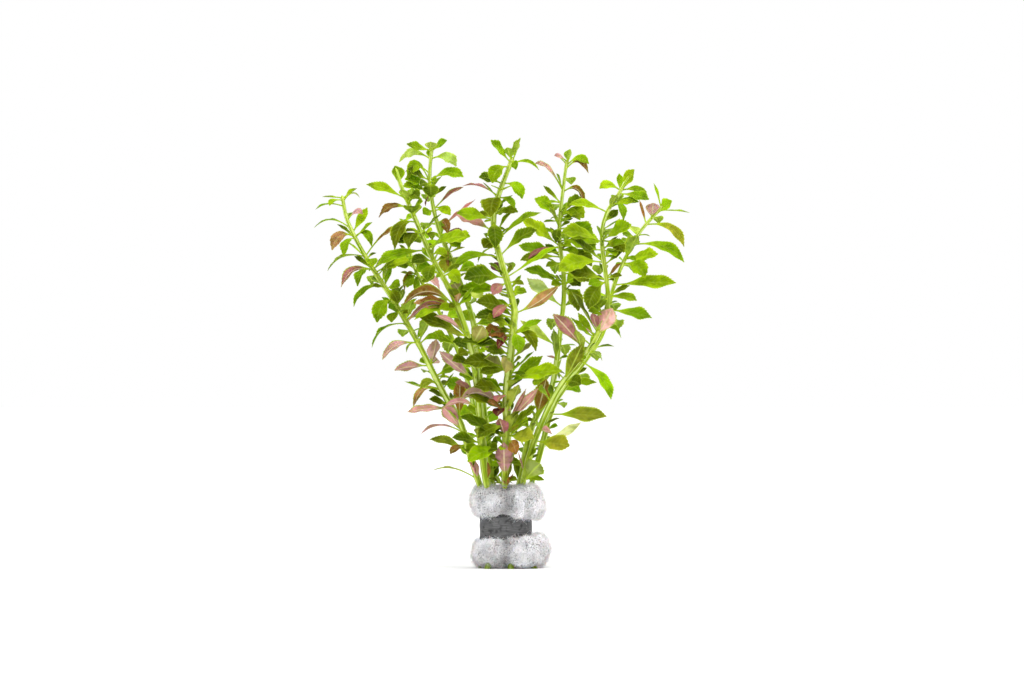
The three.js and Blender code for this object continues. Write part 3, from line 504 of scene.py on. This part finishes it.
class Sheet:
    """Collects the faces of one piece. Each point has a colour and a place on its leaf or stem."""

    def __init__(self):
        self.points = []
        self.tones = []
        self.places = []
        self.faces = []
        self.looks = []
        self.count = 0

    def add_tube(self, rings, tones, places, look, start_look=None):
        """rings is an array of rings, ring points and x, y, z. Each ring closes on itself, and flat
        faces close both ends."""
        rows, sides, _ = rings.shape
        first = self.count
        self.points.append(rings.reshape(-1, 3))
        self.tones.append(tones.reshape(-1, 3))
        self.places.append(places.reshape(-1, 3))
        for row in range(rows - 1):
            low = first + row * sides
            high = low + sides
            for side in range(sides):
                after = (side + 1) % sides
                self.faces.append((low + side, low + after, high + after, high + side))
                self.looks.append(look)
        last = first + (rows - 1) * sides
        self.faces.append(tuple(range(first + sides - 1, first - 1, -1)))
        self.faces.append(tuple(range(last, last + sides)))
        self.looks.extend([look if start_look is None else start_look, look])
        self.count += rows * sides

    def make(self, name, materials, sharp_angle=55):
        """The piece as an object, riding on the one body. Edges over sharp_angle stay sharp."""
        mesh = bpy.data.meshes.new(name)
        mesh.from_pydata((np.concatenate(self.points) * MM).tolist(), [], self.faces)
        tones = np.concatenate(self.tones)
        colours = np.ones((len(tones), 4), np.float32)
        colours[:, :3] = tones
        kept = mesh.attributes.new("tone", "FLOAT_COLOR", "POINT")
        kept.data.foreach_set("color", colours.ravel())
        places = np.concatenate(self.places).astype(np.float32)
        kept = mesh.attributes.new("place", "FLOAT_VECTOR", "POINT")
        kept.data.foreach_set("vector", places.ravel())
        for material in materials:
            mesh.materials.append(material)
        mesh.polygons.foreach_set("material_index", self.looks)
        mesh.polygons.foreach_set("use_smooth", [True] * len(self.faces))
        mesh.set_sharp_from_angle(angle=math.radians(sharp_angle))
        mesh.validate()
        piece = add_object(name, mesh)
        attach(piece, "root")
        return piece


def smooth_curve(points, before, after, steps):
    """A smooth curve through points, bent as if before and after were its next points past its ends.
    steps gives the number of steps from one point to the next."""
    padded = np.vstack([before, points, after])
    out = []
    for index in range(1, len(padded) - 2):
        a, b, c, d = padded[index - 1:index + 3]
        count = steps(b, c)
        for t in np.arange(count) / count:
            out.append(0.5 * (2 * b + (c - a) * t + (2 * a - 5 * b + 4 * c - d) * t ** 2
                              + (3 * b - a - 3 * c + d) * t ** 3))
    out.append(padded[-2])
    return np.array(out)


def at_height(points, height):
    """The point on a rising line of points at a height."""
    return np.array([np.interp(height, points[:, 2], points[:, k]) for k in range(3)])


def read_leaves(text):
    """A stem's leaves as rows of seven numbers and a tone."""
    rows = []
    for entry in text.split(","):
        words = entry.split()
        tone = words.pop() if words[-1] in TONES else USUAL_TONE
        if len(words) < ROW_NUMBERS:
            words.append(USUAL_TURN)
        rows.append((*map(float, words), tone))
    return rows


def add_stem(sheet, line, stoutness, rows, dice):
    """The stem itself, with a swelling where leaves grow from it."""
    heights = line[:, 2]
    along = heights / heights[-1]
    tangents = unit(np.gradient(line, axis=0))
    tangents[0] = UP
    across = unit(np.cross([0.0, 1.0, 0.0], tangents))
    other = np.cross(tangents, across)
    nodes = np.array(sorted({row[0] for row in rows}))
    near = np.exp(-((heights[:, None] - nodes) / NODE_REACH) ** 2).max(axis=1)
    stout = 1 + (stoutness - 1) * smooth(heights, *STOUT_FROM)
    radius = STEM_RADIUS + (TIP_RADIUS - STEM_RADIUS) * along
    radius = radius * stout * (1 + NODE_SWELL * near)
    radius[-1] *= TIP_END_SHARE
    angles = ring_angles(STEM_SIDES)
    ridges = 1 + RIDGE_HEIGHT * np.cos(RIDGES * angles + dice.uniform(*PHASES))
    out = across[:, None] * np.cos(angles)[:, None] + other[:, None] * np.sin(angles)[:, None]
    rings = line[:, None] + out * (radius[:, None] * ridges)[..., None]
    base, node, cut_end = linear(STEM_TONE), linear(NODE_TONE), linear(CUT_TONE)
    share = (NODE_PALENESS * near)[:, None, None]
    tones = base * (1 - share) + node * share + np.zeros_like(rings)
    cut = smooth(heights, *CUT_TONE_HEIGHTS)[:, None, None]
    tones = tones * (1 - cut) + cut_end * cut
    places = np.zeros_like(rings)
    places[..., 0] = np.cos(angles)
    places[..., 1] = along[:, None]
    places[..., 2] = np.sin(angles)
    sheet.add_tube(rings, tones, places, look=1, start_look=2)


def leaf_stations(length):
    """Where a leaf's rings are along it, and how far each stands out as a tooth."""
    along = list(np.linspace(0, TEETH_FROM, STALK_STATIONS))
    teeth = [0.0] * STALK_STATIONS
    depth = smooth(length, TOOTHLESS_LENGTH, FULL_TEETH_LENGTH)
    count = max(LEAST_TEETH, round((1 - TEETH_FROM) * length / TOOTH_PITCH))
    pitch = (1 - TEETH_FROM) / count
    for index in range(count):
        start = TEETH_FROM + index * pitch
        along.extend([start + TOOTH_CREST * pitch, min(start + pitch, TEETH_TO)])
        teeth.extend([depth, 0.0])
    return np.array(along), np.array(teeth)


def leaf_half_width(along, width):
    """Half the blade's width at each share of the length."""
    share = np.clip((along - BLADE_START) / (1 - BLADE_START), 0, 1)
    power = math.log(0.5) / math.log((BLADE_PEAK - BLADE_START) / (1 - BLADE_START))
    blade = np.sin(math.pi * share ** power)
    stalk = STALK_HALF_WIDTH * (1 - smooth(along, *TIP_NARROWS))
    return stalk + (SPREAD * width / 2 - STALK_HALF_WIDTH) * blade


def leaf_tones(along, shown, tone, dice):
    """The colours of a leaf's upper side and underside, ring by ring. A leaf whose underside is
    shown has its tone there, and is green above."""
    light = dice.uniform(*LEAF_LIGHTS)
    warm = dice.uniform(-LEAF_WARMTH, LEAF_WARMTH)
    body = linear(np.clip(np.array(TONES[tone]) * light + [warm, 0, 0], 0, 1))
    green = linear(np.array(TONES[USUAL_TONE]) * light)
    under = linear(UNDERSIDE_TONE)
    stalk = linear(STALK_TONE)
    if shown < 0:
        sides = green, body
    elif tone in GREENS:
        sides = body, 0.5 * (body + under)
    else:
        sides = body, body
    share = smooth(along, *TONE_GROWS)[:, None]
    return [stalk * (1 - share) + side * share for side in sides]


def add_leaf(sheet, straight, line, row, dice):
    """One leaf: a stalk, a folded blade with a ribbed underside, and teeth along its edges."""
    height, across, back, up, arch, width, shown, tone = row
    tip = at_height(straight, height) + [across, back, up]
    outward = unit(np.array([across, back, 0.0]))
    root = at_height(line, height) + outward * ROOT_OUT
    crest_along = CREST_ALONG + DROOP * min(1, max(0, -up) / max(abs(across), 1))
    crest = root + (tip - root) * [crest_along, crest_along, CREST_UP] + UP * arch
    length = np.linalg.norm(tip - root)
    along, teeth = leaf_stations(length)
    t = along[:, None]
    rib = root * (1 - t) ** 2 + crest * 2 * t * (1 - t) + tip * t ** 2
    tangent = unit((crest - root) * (1 - t) + (tip - crest) * t)
    level = np.cross(UP, outward)
    twist = dice.uniform(-TWIST, TWIST) * (along - TWIST_CENTRE)
    roll = np.radians(shown * np.sign(across) + twist)[:, None]
    side = level * np.cos(roll) + np.cross(tangent, level) * np.sin(roll)
    face = np.cross(tangent, side)
    half = leaf_half_width(along, width) * (1 + TOOTH_DEPTH * teeth)
    grown = smooth(along, *THICKNESS_GROWS)
    thick = STALK_THICKNESS + (BLADE_THICKNESS - STALK_THICKNESS) * grown
    thick = thick * (1 - TIP_THINNING * smooth(along, *TIP_THINS))
    wave_height = WAVE_HEIGHT * smooth(length, FLAT_LENGTH, FULL_TEETH_LENGTH)
    waves = dice.uniform(*WAVES)
    phases = dice.uniform(*PHASES), dice.uniform(*PHASES)
    folded = smooth(along, *FOLD_GROWS)
    rings = []
    places = []
    for u, under in [(u, 0) for u in COLUMNS] + [(u, 1) for u in COLUMNS[-2:0:-1]]:
        edge = abs(u)
        wave = np.sin(FULL_TURN * waves * along + phases[u > 0])
        wave = wave_height * half * edge ** 2 * wave * smooth(along, *WAVES_GROW)
        lift = half * FOLD * edge * folded + wave
        body = 0.5 * thick * math.sqrt(1 - edge ** 2)
        rib_share = math.exp(-(u / RIB_HALF_WIDTH) ** 2)
        if under:
            lift = lift - body - RIB_DEPTH * rib_share * (1 - along) ** RIB_FADE * folded
        else:
            groove = GROOVE_SHARE * thick * rib_share * smooth(along, *GROOVE_GROWS)
            lift = lift + body - groove
        lean = TOOTH_LEAN * TOOTH_PITCH * teeth * (edge == 1)
        rings.append(rib + side * (half * u)[:, None] + face * lift[:, None]
                     + tangent * lean[:, None])
        places.append(np.stack([np.full_like(along, u), along, np.full_like(along, under)], axis=1))
    upper, lower = leaf_tones(along, shown, tone, dice)
    tones = [upper] * len(COLUMNS) + [lower] * (len(COLUMNS) - 2)
    rings, tones, places = [np.stack(each, axis=1)[:, ::-1] for each in (rings, tones, places)]
    sheet.add_tube(rings, tones, places, look=0)


def side_shoots(rows, dice):
    """Small young leaves beside the stalks of the larger ones, as rows of the same kind."""
    shoots = []
    top = max(row[0] for row in rows)
    for height, across, back, _, _, width, _, tone in rows:
        if width < SHOOT_FROM_WIDTH or height > top - BARE_TIP:
            continue
        for _ in range(dice.choice(SHOOT_COUNTS)):
            turn = math.radians(dice.uniform(*SHOOT_TURNS)) * dice.choice((-1, 1))
            way = math.atan2(back, across) + turn
            length = dice.uniform(*SHOOT_LENGTHS)
            up = dice.uniform(*SHOOT_RISES) * length
            shade = tone if dice.random() < SAME_TONE_SHARE else dice.choice(SHOOT_TONES)
            start = height + dice.uniform(0, SHOOT_OFFSET)
            arch = dice.uniform(*SHOOT_ARCHES)
            shoot_width = length * dice.uniform(*SHOOT_WIDTHS)
            shoots.append((start, length * math.cos(way), length * math.sin(way), up, arch,
                           shoot_width, dice.choice(SHOOT_FACES), shade))
    return shoots


def stem_line(points):
    """A stem's middle, as points about a step apart."""
    before = 2 * points[0] - points[1]
    after = 2 * points[-1] - points[-2]
    return smooth_curve(points, before, after,
                        lambda b, c: max(2, int(np.linalg.norm(c - b) / STEM_STEP)))


def make_leafy_stem(index, name, materials):
    """One stem with its leaves, which grew as one piece."""
    dice = random.Random(STEM_SEED + index)
    straight = np.array([point.split() for point in STEM_PATHS[name].split(",")], float)
    line = stem_line(straight)
    rows = read_leaves(LEAVES[name])
    sheet = Sheet()
    add_stem(sheet, line, STOUTNESS[name], rows, dice)
    for row in rows:
        add_leaf(sheet, straight, line, row, dice)
    for row in side_shoots(rows, dice):
        add_leaf(sheet, straight, line, row, dice)
    piece = sheet.make("leafy_" + name, materials)
    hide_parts(name)


def lumpiness(points):
    """How far each point of the wool stands proud, in millimetres, from noise at a few scales."""
    flat = points.reshape(-1, 3)
    total = np.zeros(len(flat))
    for frequency, height in LUMPS:
        total += height * np.array([noise.noise(Vector(p * frequency)) for p in flat])
    return total.reshape(points.shape[:-1])


def grid_normals(grid):
    """The way out of a grid that closes on itself along its second side."""
    along = np.gradient(grid, axis=0)
    around = np.roll(grid, -1, axis=1) - np.roll(grid, 1, axis=1)
    normals = np.cross(around, along)
    return normals / np.maximum(np.linalg.norm(normals, axis=-1, keepdims=True), 1e-9)


def wool_grid():
    """The wool's surface, the way out of it, and how much of the lumps it has, point by point."""
    per_span = WOOL_ROWS // (len(WOOL_LEFT) - 1)
    left, right = [smooth_curve(line, line[0], line[-1], lambda b, c: per_span)
                   for line in (WOOL_LEFT, WOOL_RIGHT)]
    angles = ring_angles(WOOL_STEPS)
    share = (1 + np.cos(angles)) / 2
    out = left[:, :1] * (1 - share) + right[:, :1] * share
    height = left[:, 1:] * (1 - share) + right[:, 1:] * share
    start, end = LUMPS_FROM_WAIST
    proud = smooth(out, WAIST_RADIUS + start, WAIST_RADIUS + end)
    reach = 1 - math.cos(GROOVE_HALF_ANGLE)
    groove = np.clip(1 + (np.abs(np.sin(angles)) - 1) / reach, 0, 1)
    out = np.maximum(out - GROOVE_DEPTH * groove * proud, LEAST_WOOL_RADIUS)
    depth = 1 - (1 - WOOL_DEPTH_RATIO) * proud
    grid = np.stack([WAIST_X + out * np.cos(angles), out * depth * np.sin(angles), height], axis=-1)
    hollow = smooth(height, *HOLLOW_HEIGHTS) * (out < HOLLOW_RADIUS)
    lumps = np.maximum(proud, HOLLOW_LUMPS * hollow)
    return grid, grid_normals(grid), lumps


def wool_shade(grid, rise, lumps):
    """The shade painted into the wool's colour, as how light each point is: darker in its dents, in
    the valley down its front, under the lowest leaves, on its left and at its foot."""
    x, _, z = np.moveaxis(grid, -1, 0)
    valley = np.exp(-((x - VALLEY_AT) / VALLEY_REACH) ** 2) * lumps
    top = smooth(z, WOOL_TOP - LEAF_SHADE_BELOW_TOP, WOOL_TOP) * smooth(x, *LEAF_SHADE_SIDES)
    left = smooth(x, *LEFT_SHADE_SIDES)
    foot = smooth(z, *FOOT_HEIGHTS) * np.exp(-((x - FOOT_AT) / FOOT_REACH) ** 2)
    shade = MIDDLE_SHADE + LUMP_SHADE * np.clip(rise, *LUMP_SHADE_ENDS)
    shade = shade * (1 - VALLEY_SHADE * valley) * (1 - LEAF_SHADE * top)
    return shade * (1 - LEFT_SHADE * left) * (1 - FOOT_SHADE * foot)


def make_wool(material):
    """The matted wool with painted shade in its colour. It gives back its surface and that shade,
    point by point.
    """
    grid, normals, lumps = wool_grid()
    rise = lumpiness(grid) * lumps
    grid = grid + normals * rise[..., None]
    grid[..., 2] = np.maximum(grid[..., 2], LOWEST_WOOL)
    shade = wool_shade(grid, rise, lumps)
    # painted shade: the wool's colour is darkened point by point
    tones = linear(WOOL_TONE) * shade[..., None]
    sheet = Sheet()
    sheet.add_tube(grid, tones, np.zeros_like(grid), look=0)
    piece = sheet.make("wool_collar", [material])
    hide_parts("filter_wool")
    return grid, shade


def make_fibres(name, grid, shade, material, seed):
    """Fine curved fibres that lie on the wool and stand out of it, away from the strip. Each takes
    the wool's painted shade where it starts.
    """
    dice = np.random.default_rng(seed)
    normals = grid_normals(grid)
    area = np.cross(np.gradient(grid, axis=0), np.gradient(grid, axis=1))
    area = np.linalg.norm(area, axis=-1)
    out = np.hypot(grid[..., 0] - WAIST_X, grid[..., 1])
    waist = out < WAIST_RADIUS + HELD_OUTSIDE_WAIST
    area[waist & (grid[..., 2] < WOOL_TOP - HELD_BELOW_TOP)] = 0
    chosen = dice.choice(area.size, FIBRES, p=area.ravel() / area.sum())
    starts, outs = grid.reshape(-1, 3)[chosen], normals.reshape(-1, 3)[chosen]
    lean = unit(np.cross(outs, dice.normal(size=outs.shape)))
    bend = unit(np.cross(outs, lean)) * dice.normal(0, FIBRE_BEND, (FIBRES, 1)) - outs * FIBRE_SAG
    rise = np.radians(dice.triangular(*FIBRE_RISES, (FIBRES, 1)))
    length = dice.triangular(*FIBRE_LENGTHS, (FIBRES, 1))
    thick = dice.uniform(*FIBRE_RADII, FIBRES)
    tone = linear(FIBRE_TONE) * dice.uniform(*FIBRE_LIGHTS, (FIBRES, 1))
    # painted shade: each fibre takes the wool's painted shade where it starts, a little lightened
    tone = tone * np.minimum(1, shade.reshape(-1, 1)[chosen] + FIBRE_SHADE_LIFT)
    shares = np.linspace(0, 1, FIBRE_RINGS)[:, None]
    corners = ring_angles(FIBRE_SIDES)[:, None]
    sheet = Sheet()
    for index in range(FIBRES):
        way = lean[index] * math.cos(rise[index, 0]) + outs[index] * math.sin(rise[index, 0])
        line = (starts[index] - FIBRE_ROOT * outs[index] + length[index] * way * shares
                + length[index] * bend[index] * shares ** 2)
        line[:, 2] = np.maximum(line[:, 2], LOWEST_FIBRE)
        second = unit(np.cross(way, outs[index] + OFF_LINE))
        third = np.cross(way, second)
        ring = np.cos(corners) * second + np.sin(corners) * third
        taper = thick[index] * (1 - FIBRE_TAPER * shares)[..., None]
        rings = line[:, None] + ring * taper
        tones = np.broadcast_to(tone[index], rings.shape)
        sheet.add_tube(rings, tones, np.zeros_like(rings), look=0)
    piece = sheet.make(name, [material])


def strip_section():
    """The ribbon's outline, as [share of its thickness outwards, share of its half height up]. Its
    edges are rounded, and it has more points outside, where it shows."""
    inside = [(0.25, -1), (0, -0.95)] + [(0, h) for h in np.linspace(-0.8, 0.8, 5)] + [(0, 0.95)]
    outside = [(1, h) for h in np.linspace(0.85, -0.85, 15)]
    return inside + [(0.25, 1), (0.75, 1), (1, 0.95)] + outside + [(1, -0.95), (0.75, -1)]


def make_lead(material):
    """The ribbon, a little more than once round, with its free end over its start at the back. It
    bulges at the front, and is dented outside and frayed along its edges."""
    turns = np.linspace(0, STRIP_TURNS, STRIP_STEPS)
    angles = STRIP_START + turns * FULL_TURN
    inner = STRIP_INNER + (STRIP_THICKNESS + STRIP_GAP) * smooth(turns, STRIP_LIFT_FROM, 1)
    half = STRIP_HEIGHT / 2 + STRIP_FRONT_BULGE * np.maximum(0, -np.sin(angles)) ** 2
    section = strip_section()
    rings = []
    places = []
    for turn, angle, start, reach in zip(turns, angles, inner, half):
        for out, up in section:
            dent = STRIP_DENT * noise.noise(Vector(DENT_NOISE * (turn, up, 1)))
            fray = STRIP_FRAY * noise.noise(Vector(FRAY_NOISE * (turn, np.sign(up), 1)))
            radius = start + (STRIP_THICKNESS + dent) * out
            height = STRIP_MIDDLE + reach * up + fray * abs(up) ** EDGE_POWER
            rings.append((WAIST_X + radius * math.cos(angle), radius * math.sin(angle), height))
            places.append((STRIP_INNER * angle, reach * up, 0))
    shape = (STRIP_STEPS, len(section), 3)
    rings, places = [np.array(each).reshape(shape)[:, ::-1] for each in (rings, places)]
    sheet = Sheet()
    sheet.add_tube(rings, np.broadcast_to(linear(LEAD_TONE), shape), places, look=0)
    piece = sheet.make("lead_ribbon", [material], sharp_angle=70)
    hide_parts("lead_strip")


class Nodes:
    """The nodes of a material or a world. A value given to a node is a number, a colour or another
    node's output."""

    def __init__(self, tree, surface):
        self.tree = tree
        self.surface = surface

    def put(self, socket, value):
        if isinstance(value, bpy.types.NodeSocket):
            self.tree.links.new(value, socket)
        else:
            socket.default_value = value

    def node(self, kind, values, **settings):
        made = self.tree.nodes.new("ShaderNode" + kind)
        for key, value in settings.items():
            setattr(made, key, value)
        for socket, value in values.items():
            self.put(made.inputs[socket], value)
        return made

    def attribute(self, name, output):
        return self.node("Attribute", {}, attribute_name=name).outputs[output]

    def split(self, vector):
        return self.node("SeparateXYZ", {0: vector}).outputs

    def split_colour(self, value):
        return self.node("SeparateColor", {0: value}).outputs

    def maths(self, operation, *values):
        return self.node("Math", dict(enumerate(values)), operation=operation).outputs[0]

    def times(self, first, second):
        return self.maths("MULTIPLY", first, second)

    def step(self, value, low, high, start=0.0, end=1.0):
        """A smooth step from start to end as value goes from low to high."""
        values = {0: value, 1: low, 2: high, 3: start, 4: end}
        return self.node("MapRange", values, interpolation_type="SMOOTHSTEP").outputs[0]

    def mix(self, share, first, second, blend="MIX"):
        values = {0: share, 6: first, 7: second}
        return self.node("Mix", values, data_type="RGBA", blend_type=blend).outputs[2]

    def darker(self, share, first, second):
        """The first colour multiplied by the second, by a share."""
        return self.mix(share, first, second, "MULTIPLY")

    def noise(self, vector, scale, detail=2.0):
        return self.node("TexNoise", {"Vector": vector, "Scale": scale, "Detail": detail}).outputs[0]

    def stretched(self, vector, scale):
        return self.node("Mapping", {"Vector": vector, "Scale": scale}).outputs[0]

    def place(self):
        return self.node("TexCoord", {}).outputs["Object"]

    def bump(self, height, strength, distance):
        values = {"Height": height, "Strength": strength, "Distance": distance}
        self.put(self.surface.inputs["Normal"], self.node("Bump", values).outputs[0])

    def paint(self, colour, roughness):
        self.put(self.surface.inputs["Base Color"], colour)
        self.put(self.surface.inputs["Roughness"], roughness)


def new_material(name, **constants):
    """A material and its nodes. A constant's name is its socket's, with _ for a space."""
    material = bpy.data.materials.new(name)
    material.use_nodes = True
    surface = material.node_tree.nodes["Principled BSDF"]
    for socket, value in constants.items():
        surface.inputs[socket.replace("_", " ")].default_value = value
    return material, Nodes(material.node_tree, surface)


def colour(screen):
    return (*linear(screen), 1.0)


def leaf_material():
    """Blades: a pale rib, faint slanting veins, mottled colour, a paler base that is partly painted
    highlight, a darker, redder rim on red leaves and a painted highlight of lime along green leaves'
    rims.
    """
    material, n = new_material("leaf", Specular_IOR_Level=0.03, Subsurface_Weight=0.3,
                               Subsurface_Scale=0.0008, Subsurface_Radius=(0.7, 1.0, 0.15))
    tone = n.attribute("tone", "Color")
    across, along, under = n.split(n.attribute("place", "Vector"))
    off = n.maths("ABSOLUTE", across)
    place = n.place()
    parts = n.split_colour(tone)
    warm = n.step(n.maths("SUBTRACT", parts[0], parts[1]), 0.01, 0.1)
    green = n.maths("SUBTRACT", 1.0, warm)
    blotch = n.noise(place, 260)
    mottle = n.noise(place, 900, 3.0)

    body = n.mix(n.step(blotch, 0.42, 0.62), tone, n.darker(0.5, tone, colour(BLOTCH_TONE)))
    green_patch = n.times(warm, n.times(n.step(mottle, 0.4, 0.65), n.step(off, 0.8, 0.1)))
    body = n.mix(n.times(green_patch, 0.4), body, colour(PATCH_TONE))

    browner_tip = n.darker(1.0, body, colour(LEAF_TIP_TONE))
    body = n.mix(n.times(n.step(along, 0.55, 1.0), 0.35), body, browner_tip)
    # paler base: partly the leaf's own paler colour and partly painted highlight
    paler_base_and_highlight = n.times(n.step(along, 0.5, 0.2), green)
    body = n.mix(n.times(paler_base_and_highlight, 0.45), body, colour(LEAF_BASE_HIGHLIGHT_TONE))

    phase = n.maths("SUBTRACT", n.times(along, VEINS), n.times(off, VEIN_SLANT))
    wave = n.maths("SINE", n.times(phase, FULL_TURN))
    vein = n.times(n.step(wave, 0.6, 1), n.step(off, 1, 0.6))
    body = n.mix(n.times(vein, 0.07), body, colour(VEIN_TONE))

    # the red rim is the leaf's own colour; the lime rim on green leaves is painted highlight
    red_rim = n.darker(1.0, body, colour(RED_RIM_TONE))
    rim = n.mix(warm, colour(GREEN_RIM_HIGHLIGHT_TONE), red_rim)
    body = n.mix(n.times(n.step(off, 0.8, 1), 0.34), body, rim)
    rib_share = n.times(n.step(off, 0.13, 0.04), n.step(under, 0, 1, 0.13, 0.6))
    rib = n.mix(warm, colour(GREEN_RIB_TONE), colour(RED_RIB_TONE))
    body = n.mix(rib_share, body, rib)

    n.paint(body, n.step(mottle, 0.2, 0.8, 0.42, 0.6))
    n.bump(n.maths("ADD", n.times(vein, 0.5), n.times(mottle, 0.5)), 0.5, 0.00015)
    return material


def stem_material():
    """Stems: pale and dark streaks along their length, partly the stem's own stripes and partly
    painted highlight and shade. The dark cut ends have almost no pale ones.
    """
    material, n = new_material("stem", Specular_IOR_Level=0.15, Subsurface_Weight=0.3,
                               Subsurface_Scale=0.0012, Subsurface_Radius=(0.7, 1.0, 0.3))
    tone = n.attribute("tone", "Color")
    place = n.stretched(n.attribute("place", "Vector"), (1.5, 7, 1.5))
    streak = n.noise(place, 1.0, 1.0)
    living = n.step(n.split_colour(tone)[1], 0.2, 0.4, 0.1, 0.62)
    # painted highlight and shade: the streaks are partly the stem's own stripes and partly light and
    # shade round it
    pale = n.times(n.step(streak, 0.5, 0.66), living)
    dark = n.times(n.step(streak, 0.5, 0.34), 0.75)
    body = n.mix(pale, tone, colour(PALE_STREAK_HIGHLIGHT_TONE))
    body = n.mix(dark, body, colour(DARK_STREAK_SHADE_TONE))
    n.paint(body, n.step(streak, 0.2, 0.8, 0.35, 0.5))
    n.bump(streak, 0.4, 0.0002)
    return material


def cut_material():
    """The cut ends: a moist, darker green with a paler pith."""
    material, n = new_material("cut_end", Specular_IOR_Level=0.5)
    grain = n.noise(n.place(), 1500)
    n.paint(n.mix(grain, colour(CUT_RIM_TONE), colour(PITH_TONE)), 0.4)
    return material


def wool_material():
    """Filter wool: matt light grey with painted shade in flecks where the fibres part."""
    material, n = new_material("wool", Specular_IOR_Level=0.1, Subsurface_Weight=0.2,
                               Subsurface_Scale=0.001, Subsurface_Radius=(1.0, 1.0, 1.0))
    place = n.place()
    fleck = n.noise(place, 1500, 3.0)
    patch = n.noise(place, 240)
    tone = n.attribute("tone", "Color")
    # painted shade in the gaps where the fibres part
    share = n.times(n.step(fleck, 0.58, 0.38), n.step(patch, 0.36, 0.64, 0.3, 1.0))
    n.paint(n.mix(share, tone, n.darker(1.0, tone, colour(FLECK_SHADE_TONE))), 0.95)
    n.bump(fleck, 0.6, 0.0003)
    return material


def fibre_material():
    """The loose fibres: a little glossier than the matted wool, each with its own white and the
    wool's painted shade.
    """
    material, n = new_material("wool_fibre", Specular_IOR_Level=0.4, Subsurface_Weight=0.3,
                               Subsurface_Scale=0.0005)
    gloss = n.noise(n.place(), 900)
    n.paint(n.attribute("tone", "Color"), n.step(gloss, 0.3, 0.7, 0.4, 0.6))
    return material


def lead_material():
    """Lead: dull dark grey with faint streaks along the strip, a few scuffs and painted shade along
    its top and bottom edges, where the wool overhangs it.
    """
    material, n = new_material("lead", Metallic=0.75, Specular_IOR_Level=0.4)
    place = n.attribute("place", "Vector")
    streak = n.noise(n.stretched(place, (0.22, 3.6, 1)), 1.0, 4.0)
    scuff = n.noise(n.stretched(place, (0.5, 0.5, 1)), 1.0)
    height = n.maths("ABSOLUTE", n.split(place)[1])
    # painted shade of the overhanging wool along the strip's top and bottom edges
    edge = n.step(height, STRIP_HEIGHT / 2 - 1, STRIP_HEIGHT / 2)
    body = n.mix(n.step(streak, 0.42, 0.7), n.attribute("tone", "Color"), colour(LEAD_STREAK_TONE))
    body = n.mix(n.times(n.step(scuff, 0.5, 0.7), 0.8), body, colour(SCUFF_TONE))
    body = n.mix(n.times(edge, 0.7), body, colour(LEAD_EDGE_SHADE_TONE))
    n.paint(body, n.step(streak, 0.2, 0.8, 0.5, 0.65))
    n.bump(streak, 0.4, 0.00015)
    return material


def floor_material():
    """A matt floor with hardly any change of tone."""
    material, n = new_material("floor", Specular_IOR_Level=0.0)
    brighter = [min(1, share + 0.01) for share in FLOOR_TONE]
    n.paint(n.mix(n.noise(n.place(), 4), colour(FLOOR_TONE), colour(brighter)), 0.95)
    return material


def make_camera():
    data = bpy.data.cameras.new("camera")
    data.sensor_width = SENSOR_WIDTH
    data.lens = SENSOR_WIDTH * CAMERA_DISTANCE / FRAME_WIDTH
    data.clip_end = VIEW_END
    camera = add_object("camera", data)
    camera.location = (FRAME_CENTRE[0] * MM, -CAMERA_DISTANCE * MM, FRAME_CENTRE[1] * MM)
    camera.rotation_euler = (math.pi / 2, 0, 0)
    bpy.context.scene.camera = camera


def make_light(kind, name, energy, place, rotation, **settings):
    data = bpy.data.lights.new(name, kind)
    data.energy = energy
    for key, value in settings.items():
        setattr(data, key, value)
    light = add_object(name, data)
    light.location = place
    light.rotation_euler = rotation


def make_world():
    """A dim surround with a white band at eye level, which is what shows behind the bunch."""
    world = bpy.data.worlds.new("studio")
    world.use_nodes = True
    n = Nodes(world.node_tree, world.node_tree.nodes["Background"])
    n.put(n.surface.inputs["Color"], (1, 1, 1, 1))
    height = n.maths("ABSOLUTE", n.split(n.node("TexCoord", {}).outputs["Generated"])[2])
    n.put(n.surface.inputs["Strength"], n.step(height, BAND_TOP, BAND_END, 1.0, WORLD_LIGHT))
    bpy.context.scene.world = world


def make_floor():
    mesh = bpy.data.meshes.new("floor")
    corners = [(x * FLOOR_REACH, y * FLOOR_REACH, 0) for x, y in FLOOR_CORNERS]
    mesh.from_pydata(corners, [], [(0, 1, 2, 3)])
    mesh.materials.append(floor_material())
    add_object("floor", mesh)


def make_studio():
    """The camera, the floor, the world and the lights."""
    make_camera()
    make_floor()
    make_world()
    turn = [math.radians(angle) for angle in SUN_TURN]
    spread = math.radians(SUN_SPREAD)
    make_light("SUN", "sky", SUN_STRENGTH, SUN_PLACE, turn, angle=spread)
    for name, place, size, power in LIGHTS:
        aim = (LIGHT_AIM - Vector(place)).to_track_quat("-Z", "Y")
        make_light("AREA", name, power, place, aim.to_euler(), size=size)
    bpy.context.scene.view_settings.view_transform = "Standard"


def make_plants():
    materials = [leaf_material(), stem_material(), cut_material()]
    for index, name in enumerate(STEM_PATHS):
        make_leafy_stem(index, name, materials)


def make_collar():
    """The wool, its fibres in two halves, and the strip round its waist."""
    surface, shade = make_wool(wool_material())
    fibre = fibre_material()
    middle = WOOL_ROWS // 2
    for half, start, end in (("lower", 0, middle), ("upper", middle, WOOL_ROWS)):
        make_fibres("wool_fibres_" + half, surface[start:end], shade[start:end], fibre,
                    FIBRE_SEED + start)
    make_lead(lead_material())


make_studio()
make_plants()
make_collar()
